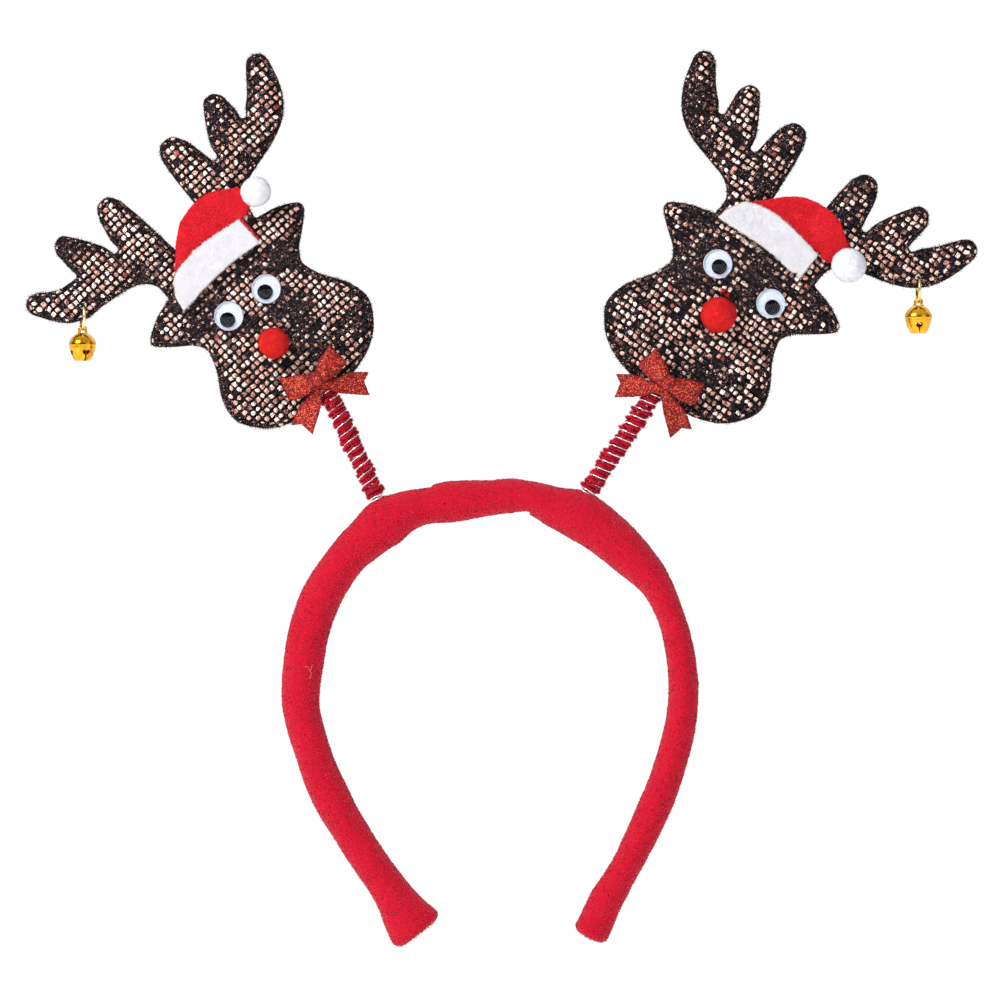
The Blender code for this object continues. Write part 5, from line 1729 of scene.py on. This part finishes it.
def make_pompom(side, part, look, materials, seed):
    """A dense ball of short felted pile, cut off where it sits."""
    rng = np.random.default_rng(SEED + seed)
    name = f"{side}_{part}"
    low, high = node_box(name, TILT_DEG[side])
    radius = max(high[0] - low[0], high[1] - low[1]) / 2
    centre = np.array(((low[0] + high[0]) / 2, (low[1] + high[1]) / 2, high[2] - radius))
    rows = np.linspace(0.0, math.pi, POMPOM_ROWS)
    points, faces = lathe(np.stack((np.sin(rows), np.cos(rows)), 1), POMPOM_SIDES)
    size = np.full(len(points), POMPOM_SIZE)
    for height, cell, k in POMPOM_LUMPS:
        size += height * noise(points * radius, cell, seed + k)
    points = centre + points * (radius * size)[:, None]
    points[:, 2] = np.maximum(points[:, 2], low[2])
    pile = Pile()
    pile.add(points, faces[:, ::-1], 0.5 + waves(points, (*POMPOM_MOTTLING, seed + BALL_SEED)), POMPOM_BLEND)
    roots, ways = pile.scatter(POMPOM_FIBRES, rng)
    above = roots[:, 2] > low[2] + POMPOM_FOOT
    roots, ways = roots[above], ways[above]
    flow = drift(roots, POMPOM_FLOW_CELL, seed + FLOW_SEED)
    tangent = flattened(rng.normal(size=ways.shape) * POMPOM_STRAY + flow, ways)
    aims = unit(tangent + ways * rng.uniform(*POMPOM_RISE, (len(roots), 1)))
    lengths = radius * rng.uniform(*POMPOM_FIBRE_LENGTH, len(roots))
    own = rng.normal(size=len(roots)) * POMPOM_TONE_STRAY
    tones = np.clip(0.5 + waves(roots, (*POMPOM_MOTTLING, seed + FIBRE_SEED)) + own, 0, 1)
    add_fibres(pile, roots - ways * POMPOM_FIBRE_SUNK, aims, lengths, POMPOM_FIBRE_WIDTH, tones, rng, ways)
    make_piece(f"{name}_pile", turned(pile, TILT_DEG[side]), materials[look], (name,))


# Eyes

PUPIL_RADIUS = 0.0025
DOME_SHARE = 0.95
DOME_POWER = 2.4
DOME_ROWS = 20
# The disc's flat part in shares of its radius, and its raised rim with heights over its face
DISC_FLAT = (0, 0.3, 0.6, 0.85, 0.89)
DISC_RIM = ((0.90, 0.0), (0.915, 0.0003), (0.94, 0.00042), (0.97, 0.00035), (0.99, 0.0001), (1.0, -0.0002))
DISC_BEVEL = 0.0001
# The pupil's flat part in shares of its radius, and its edge with shares of half its thickness
PUPIL_FLAT = (0, 0.4, 0.8, 0.92, 0.95)
PUPIL_EDGE = ((0.99, 0.8), (1.0, 0.4), (1.0, -0.9), (0.0, -1.0))


def lathe_piece(name, profile, place, tilt, material, replaced):
    """A turned piece at a place in the head's frame."""
    points, faces = lathe(profile, ROUND_SIDES)
    pile = Pile()
    pile.add(points + place, faces[:, ::-1])
    return make_piece(name, turned(pile, tilt), material, (replaced,), True)


def make_eye(name, side, materials):
    tilt = TILT_DEG[side]
    low, high = node_box(f"{name}_base", tilt)
    centre = np.array(((low[0] + high[0]) / 2, (low[1] + high[1]) / 2, 0.0))
    back, front = low[2], high[2]
    radius = EYE_RADIUS
    disc = [(radius * share, front) for share in DISC_FLAT]
    disc += [(radius * share, front + rise) for share, rise in DISC_RIM]
    disc += [(radius, back + DISC_BEVEL), (radius - DISC_BEVEL, back), (0, back)]
    lathe_piece(f"{name}_disc", disc, centre, tilt, materials["eye_white"], f"{name}_base")
    low, high = node_box(f"{name}_pupil", tilt)
    half = (high[2] - low[2]) / 2
    pupil = [(PUPIL_RADIUS * share, half) for share in PUPIL_FLAT]
    pupil += [(PUPIL_RADIUS * share, half * level) for share, level in PUPIL_EDGE]
    lathe_piece(f"{name}_pupil_disc", pupil, (low + high) / 2, tilt, materials["pupil"],
                f"{name}_pupil")
    low, high = node_box(f"{name}_dome", tilt)
    shell = []
    for wall in (0.0, EYE_WALL):
        wide, rise = radius * DOME_SHARE - wall, EYE_DOME_HEIGHT - wall
        shell.append([(wide * share, low[2] + rise * (1 - share ** DOME_POWER))
                      for share in np.linspace(0, 1, DOME_ROWS)])
    dome = lathe_piece(f"{name}_clear_dome", shell[0] + shell[1][::-1], centre, tilt, materials["clear"],
                       f"{name}_dome")
    dome.visible_shadow = False


# Bows

BOW_TURN_DEG = {"left": -8.5, "right": 0.0}
# Bow parts: thickness at the rim and in the middle, the solid's own thickness, flakes and seed
BOW_PARTS = {
    "bow_tails": (0.00055, 0.001, 0.001, 5200, 0),
    "bow_loops": (0.0009, 0.0032, 0.0017, 5200, 2),
    "bow_knot": (0.00066, 0.0012, 0.0012, 500, 4),
}
BOW_OUTLINE_STEP = 0.0004
BOW_SHARP_DEG = 110
BOW_STEP_INSIDE = 0.0009
BOW_INSETS = (0.0002, 0.0005, 0.0009, 0.0014)
BOW_BUMPS = (0.00006, 0.0012, 70)
BOW_MOTTLING = (0.4, 0.0016, 71)
BOW_RIM_WIDTH = 0.0006
BOW_RIM_SHADE = 0.4
FLAKE_HALF = 0.00020
FLAKE_SIZES = (0.7, 1.3)
FLAKE_CORNERS = 6
FLAKE_TILT = 0.4
FLAKE_LIFT = 0.00008
FLAKE_ROOM = 0.00045
FLAKE_CHANCE_AT_EDGE = 0.25
FLAKE_TONES = (0.9, 0.9)
FLAKE_RIM_SHADE = 0.35


def glitter_flakes(pile, outline, tilt, count, rng):
    """Small six-sided flakes on a bow part, fewer along its edge; their tones run to painted glints and get
    painted shade along the edge.
    """
    roots, ways = pile.scatter(count, rng)
    away = edge_distance(outline, to_local(roots, tilt)[:, :2])
    keep = (away > FLAKE_ROOM) | (rng.random(count) < FLAKE_CHANCE_AT_EDGE)
    roots, ways, away = roots[keep], ways[keep], away[keep]
    count = len(roots)
    ways = unit(ways + rng.normal(size=(count, 3)) * FLAKE_TILT)
    first = unit(np.cross(ways, rng.normal(size=(count, 3))))
    second = np.cross(ways, first)
    size = FLAKE_HALF * rng.uniform(*FLAKE_SIZES, (count, 1))
    centres = roots + ways * FLAKE_LIFT
    points = np.stack([centres + first * size * math.cos(a) + second * size * math.sin(a)
                       for a in np.linspace(0, 2 * math.pi, FLAKE_CORNERS, endpoint=False)], axis=1)
    tones = rng.beta(*FLAKE_TONES, count) - FLAKE_RIM_SHADE * np.exp(-away / BOW_RIM_WIDTH)
    fan = [(0, k, k + 1) for k in range(1, FLAKE_CORNERS - 1)]
    flakes = Pile()
    flakes.add(points, copies(fan, count, FLAKE_CORNERS), np.repeat(np.clip(tones, 0, 1), FLAKE_CORNERS))
    return flakes


def make_bow_part(side, part, materials):
    rim, thickness, solid_thickness, flakes, seed = BOW_PARTS[part]
    rng = np.random.default_rng(SEED + BOW_SEED + seed + SIDES.index(side))
    name = f"{side}_{part}"
    tilt = TILT_DEG[side]
    outline = smooth_loop(outline_loops(name, tilt)[0], BOW_OUTLINE_STEP, BOW_SHARP_DEG)
    flat, faces = filled(outline, BOW_STEP_INSIDE, BOW_INSETS)
    distance = edge_distance(outline, flat)
    middle = bow_middle(side, part, flat, solid_thickness)
    share = np.minimum(distance / BOW_STEP, 1.0)
    half = (rim + (thickness - rim) * np.sin(math.pi / 2 * share)) / 2
    place = at_level(flat, middle)
    half = half + waves(place, BOW_BUMPS)
    # Painted shade darkens the base along its rim, where the bow curves away
    tone = 0.5 + waves(place, BOW_MOTTLING) - BOW_RIM_SHADE * np.exp(-distance / BOW_RIM_WIDTH)
    pile = Pile()
    add_pad(pile, flat, faces, half, middle, np.clip(tone, 0, 1))
    make_piece(f"{name}_base", turned(pile, tilt), materials["glitter_base"], (name,))
    sparkle = glitter_flakes(pile, outline, tilt, flakes, rng)
    make_piece(f"{name}_glitter", sparkle, materials["flake"])


def bow_middle(side, part, flat, thickness):
    """The level of a bow part's middle plane, which leans back beyond the spring."""
    tilt = TILT_DEG[side]
    low, high = node_box(f"{side}_bow_knot", tilt)
    centre = (low + high) / 2
    if part == "bow_knot":
        return np.full(len(flat), centre[2])
    front = node_box(f"{side}_{part}", tilt)[1][2] - thickness / 2
    turn = math.radians(BOW_TURN_DEG[side])
    away = flat - centre[:2]
    across = away[:, 0] * math.cos(turn) + away[:, 1] * math.sin(turn)
    return front - BOW_LEAN_BACK * np.maximum(np.abs(across) - BOW_FLAT_HALF, 0.0)


# Rings and bells

RING_STEPS = 72
RING_SIDES = 14
PROFILE_STEPS = 3
SHELL_MERGE = 2e-6
HEART_HALF = 0.00122
HEART_STEPS = 40
HEART_ACROSS = 16
HEART_WAVES = (13, -5, -2, -1)
BELL_SLOT_HALF = 0.0003
BELL_SHARP_DEG = 35
LOOP_RADIUS = 0.00115
LOOP_WIRE_RADIUS = 0.00048
LOOP_SIDES = 12
LOOP_STEPS = 40
# Where the loop's round part starts and ends, in half turns, how far its top is below the solid's,
# and how far apart and how deep its feet are
LOOP_TURNS = (-0.15, 1.15)
LOOP_DROP = 0.0003
LOOP_FOOT = 0.0016
LOOP_FOOT_DEPTH = 0.0005
PELLET_ROWS = 20
PELLET_SIDES = 32
UP = np.array((0.0, 0.0, 1.0))


def make_ring(side, materials):
    low, high = node_box(f"{side}_ring")
    centre = to_world((low + high) / 2, 0.0)
    turn = math.radians(RING_TURN_DEG[side])
    flat = np.array((-math.sin(turn), math.cos(turn), 0.0))
    angle = np.linspace(0, 2 * math.pi, RING_STEPS, endpoint=False)
    spokes = np.cos(angle)[:, None] * flat + np.sin(angle)[:, None] * UP
    pile = Pile()
    add_tube(pile, centre + spokes * RING_RADIUS, spokes, RING_WIRE_RADIUS, RING_SIDES, closed=True)
    make_piece(f"{side}_jump_ring", pile, materials["pale_gold"], (f"{side}_ring",), True)


def smooth_profile(rows, count):
    rows = np.array(rows, dtype=float)
    result = []
    for i in range(len(rows) - 1):
        start, end = rows[i], rows[i + 1]
        before = rows[i - 1] if i > 0 else start * (-1, 1)
        after = rows[i + 2] if i + 2 < len(rows) else end * (-1, 1)
        for k in range(count):
            result.append(catmull_rom(before, start, end, after, k / count))
    result.append(rows[-1])
    return np.array(result)


def solid_object(name, points, faces):
    mesh = bpy.data.meshes.new(name)
    mesh.from_pydata([tuple(p) for p in points], [], [tuple(int(i) for i in f) for f in faces])
    clean_mesh(mesh, SHELL_MERGE, outward=True)
    return new_object(name, mesh)


def heart_outline():
    """A heart about the middle of the hole at a slot's end."""
    turn = np.linspace(0, 2 * math.pi, HEART_STEPS, endpoint=False)
    x = HEART_ACROSS * np.sin(turn) ** 3
    y = sum(size * np.cos(k * turn) for k, size in enumerate(HEART_WAVES, 1))
    return np.stack((x, y), 1) / HEART_ACROSS * HEART_HALF


def prism(name, outline, half_length, place, turn):
    """A prism along Y through the bell, turned about Z."""
    count = len(outline)
    points = [(x, -half_length, y) for x, y in outline] + [(x, half_length, y) for x, y in outline]
    faces = [tuple(range(count)), tuple(range(2 * count - 1, count - 1, -1))]
    faces += [(k, (k + 1) % count, (k + 1) % count + count, k + count) for k in range(count)]
    points = np.array(points) @ np.array(((math.cos(turn), math.sin(turn), 0),
                                          (-math.sin(turn), math.cos(turn), 0), (0, 0, 1))) + place
    return solid_object(name, points, faces)


def bell_solids(side, place, low, turn):
    """The bell's outer shape, and what is cut from it: its hollow, its hearts and its slots."""
    half, top = BELL_WIDTH / 2, low + BELL_HEIGHT
    rows = smooth_profile(BELL_ROWS, PROFILE_STEPS)
    outer = rows * (half, -BELL_HEIGHT) + (0, top)
    inner = rows * (half - BELL_WALL, -(BELL_HEIGHT - 2 * BELL_WALL)) + (0, top - BELL_WALL)
    solids = []
    for name, profile in ((f"{side}_bell_shell", outer), ("bell_hollow", inner)):
        points, faces = lathe(profile, BELL_SIDES)
        solids.append(solid_object(name, points + place, faces))
    hole = place + (0, 0, low + BELL_HEIGHT * BELL_HOLE_UP)
    wide = BELL_SLOT_HALF
    slot = np.array(((-wide, -BELL_HEIGHT), (wide, -BELL_HEIGHT), (wide, 0.0), (-wide, 0.0)))
    for angle in (turn, turn + math.pi / 2):
        solids.append(prism("bell_heart", heart_outline(), BELL_WIDTH, hole, angle))
        solids.append(prism("bell_slot", slot, BELL_WIDTH, hole, angle))
    return solids


def carved(shell, tools):
    """The shell's mesh with the tools cut out of it."""
    for tool in tools:
        modifier = shell.modifiers.new(tool.name, 'BOOLEAN')
        modifier.operation = 'DIFFERENCE'
        modifier.solver = 'EXACT'
        modifier.object = tool
    bpy.context.view_layer.update()
    mesh = bpy.data.meshes.new_from_object(shell.evaluated_get(bpy.context.evaluated_depsgraph_get()))
    for obj in tools + [shell]:
        bpy.data.objects.remove(obj)
    return mesh


def make_bell_loop(side, place, top, tab_top, turn, materials):
    """The round wire loop on the bell's cap, with its two feet."""
    flat = np.array((math.cos(turn), math.sin(turn), 0.0))
    start, end = LOOP_TURNS
    angle = np.linspace(start * math.pi, end * math.pi, LOOP_STEPS)
    spokes = np.cos(angle)[:, None] * flat + np.sin(angle)[:, None] * UP
    path = place + (0, 0, tab_top - LOOP_RADIUS - LOOP_DROP) + spokes * LOOP_RADIUS
    foot = (0, 0, top - LOOP_FOOT_DEPTH)
    path = np.vstack((place + flat * LOOP_FOOT + foot, path, place - flat * LOOP_FOOT + foot))
    normals = np.tile((-math.sin(turn), math.cos(turn), 0.0), (len(path), 1))
    pile = Pile()
    add_tube(pile, path, normals, LOOP_WIRE_RADIUS, LOOP_SIDES)
    make_piece(f"{side}_bell_loop", pile, materials["gold"])


def make_pellet(side, middle, radius, materials):
    rows = np.linspace(0, math.pi, PELLET_ROWS)
    points, faces = lathe(np.stack((np.sin(rows), np.cos(rows)), 1) * radius, PELLET_SIDES)
    ball = Pile()
    ball.add(points + middle, faces[:, ::-1])
    make_piece(f"{side}_pellet", ball, materials["gold"], (f"{side}_bell_pellet",), True)


def make_bell(side, materials):
    pellet = node_points(f"{side}_bell_pellet")
    middle = (pellet.min(0) + pellet.max(0)) / 2
    place = np.array((middle[0], middle[1], 0.0))
    levels = node_points(f"{side}_bell")[:, 2]
    turn = math.radians(BELL_TURN_DEG[side])
    shell, *tools = bell_solids(side, place, levels.min(), turn)
    mesh = carved(shell, tools)
    mesh.name = f"{side}_bell_shell"
    mesh.shade_smooth()
    mesh.set_sharp_from_angle(angle=math.radians(BELL_SHARP_DEG))
    mesh.materials.clear()
    mesh.materials.append(materials["gold"])
    tell_frame(new_object(f"{side}_bell_shell", mesh), (f"{side}_bell",))
    make_bell_loop(side, place, levels.min() + BELL_HEIGHT, levels.max(), turn, materials)
    make_pellet(side, middle, (pellet.max(0) - pellet.min(0))[2] / 2, materials)


# Studio

WHITE_TO_CAMERA = 1.05
# Light of the world along an axis: from and to a place on it, with linear colours
WORLD_LIGHTS = (
    ("Z", (0.66, (0.07, 0.07, 0.08, 1)), (0.84, (0.74, 0.74, 0.76, 1))),
    ("Y", (0.5, (0, 0, 0, 1)), (0.7, (0.8, 0.8, 0.82, 1))),
)
FLOOR_HALF = 30.0
FLOOR_GLOW = 0.2
FLOOR_CELL = 0.5
FLOOR_WHITES = ((0.3, "FAFAFA"), (0.7, "FFFFFF"))
# Area lights: name, place, what it faces, width, height and power
LIGHTS = (
    ("key", (-1.1, -1.1, 1.0), (0, 0, 0.02), 0.9, 0.7, 34.0),
    ("fill", (1.3, -1.2, 0.4), (0, 0, 0.0), 1.2, 1.2, 4.5),
)


def add_area_light(name, place, target, width, height, power):
    data = bpy.data.lights.new(name, 'AREA')
    data.shape = 'RECTANGLE'
    data.size = width
    data.size_y = height
    data.energy = power
    light = new_object(name, data)
    light.location = place
    light.rotation_mode = 'QUATERNION'
    light.rotation_quaternion = (Vector(target) - Vector(place)).to_track_quat('-Z', 'Y')


def add_backlight(world, place, axis, dark, light):
    """Light that grows along an axis of the world, from a dark to a light colour."""
    half = add_node(world, "ShaderNodeMath", operation='MULTIPLY_ADD')
    link(world, place.outputs[axis], half.inputs[0])
    half.inputs[1].default_value = 0.5
    half.inputs[2].default_value = 0.5
    background = add_node(world, "ShaderNodeBackground")
    link(world, ramp(world, half.outputs[0], dark, light), background.inputs["Color"])
    return background.outputs[0]


def show_to_camera(material, seen, light, output):
    """One shader to the camera's own rays and another to all other rays."""
    mix = add_node(material, "ShaderNodeMixShader")
    path = add_node(material, "ShaderNodeLightPath")
    link(material, path.outputs["Is Camera Ray"], mix.inputs["Fac"])
    link(material, light, mix.inputs[1])
    link(material, seen, mix.inputs[2])
    link(material, mix.outputs[0], material.node_tree.nodes[output].inputs["Surface"])


def make_world():
    """White to the camera; as light, it comes from above and from the backdrop behind."""
    world = bpy.data.worlds.new("studio")
    world.use_nodes = True
    bpy.context.scene.world = world
    white = world.node_tree.nodes["Background"]
    white.inputs["Color"].default_value = (1, 1, 1, 1)
    white.inputs["Strength"].default_value = WHITE_TO_CAMERA
    place = add_node(world, "ShaderNodeSeparateXYZ")
    link(world, add_node(world, "ShaderNodeTexCoord").outputs["Generated"], place.inputs[0])
    both = add_node(world, "ShaderNodeAddShader")
    for socket, values in zip(both.inputs, WORLD_LIGHTS):
        link(world, add_backlight(world, place, *values), socket)
    show_to_camera(world, white.outputs[0], both.outputs[0], "World Output")


def make_floor():
    mesh = bpy.data.meshes.new("floor")
    corners = [(x * FLOOR_HALF, y * FLOOR_HALF, 0) for x, y in ((-1, -1), (1, -1), (1, 1), (-1, 1))]
    mesh.from_pydata(corners, [], [(0, 1, 2, 3)])
    material = new_material("pale_floor", Roughness=0.9, Specular_IOR_Level=0.0,
                            Emission_Color=(1.0, 1.0, 1.0, 1.0), Emission_Strength=FLOOR_GLOW)
    colour_with(material, ramp(material, speckle(material, FLOOR_CELL), *FLOOR_WHITES))
    seen = add_node(material, "ShaderNodeEmission", Strength=1.0)
    shader = material.node_tree.nodes["Principled BSDF"]
    show_to_camera(material, seen.outputs[0], shader.outputs[0], "Material Output")
    mesh.materials.append(material)
    floor = new_object("floor", mesh)
    floor.location = (0, 0, FLOOR_LEVEL)


def make_camera():
    data = bpy.data.cameras.new("camera")
    data.sensor_width = SENSOR_WIDTH * 1000
    data.lens = SENSOR_WIDTH * 1000 * -CAMERA_PLACE[1] / CAMERA_VIEW_WIDTH
    data.clip_start, data.clip_end = CAMERA_CLIPS
    camera = new_object("camera", data)
    camera.location = CAMERA_PLACE
    camera.rotation_euler = (math.pi / 2, 0.0, 0.0)
    bpy.context.scene.camera = camera


def make_studio():
    make_camera()
    make_world()
    make_floor()
    bpy.context.scene.view_settings.view_transform = 'Standard'
    for values in LIGHTS:
        add_area_light(*values)


def main():
    materials = make_materials()
    make_studio()
    make_hoop(materials)
    make_hoop_lint(materials)
    for side in SIDES:
        make_spring(side, materials)
        make_head(side, materials)
        make_felt(side, "hat", "red_felt", materials)
        make_felt(side, "hat_cuff", "white_felt", materials)
        make_pompom(side, "hat_pompom", "white_pile", materials, HAT_POMPOM_SEED)
        make_pompom(side, "nose", "red_pile", materials, NOSE_SEED)
        for place in ("outer", "inner"):
            make_eye(f"{side}_{place}_eye", side, materials)
        for part in BOW_PARTS:
            make_bow_part(side, part, materials)
        make_ring(side, materials)
        make_bell(side, materials)


main()
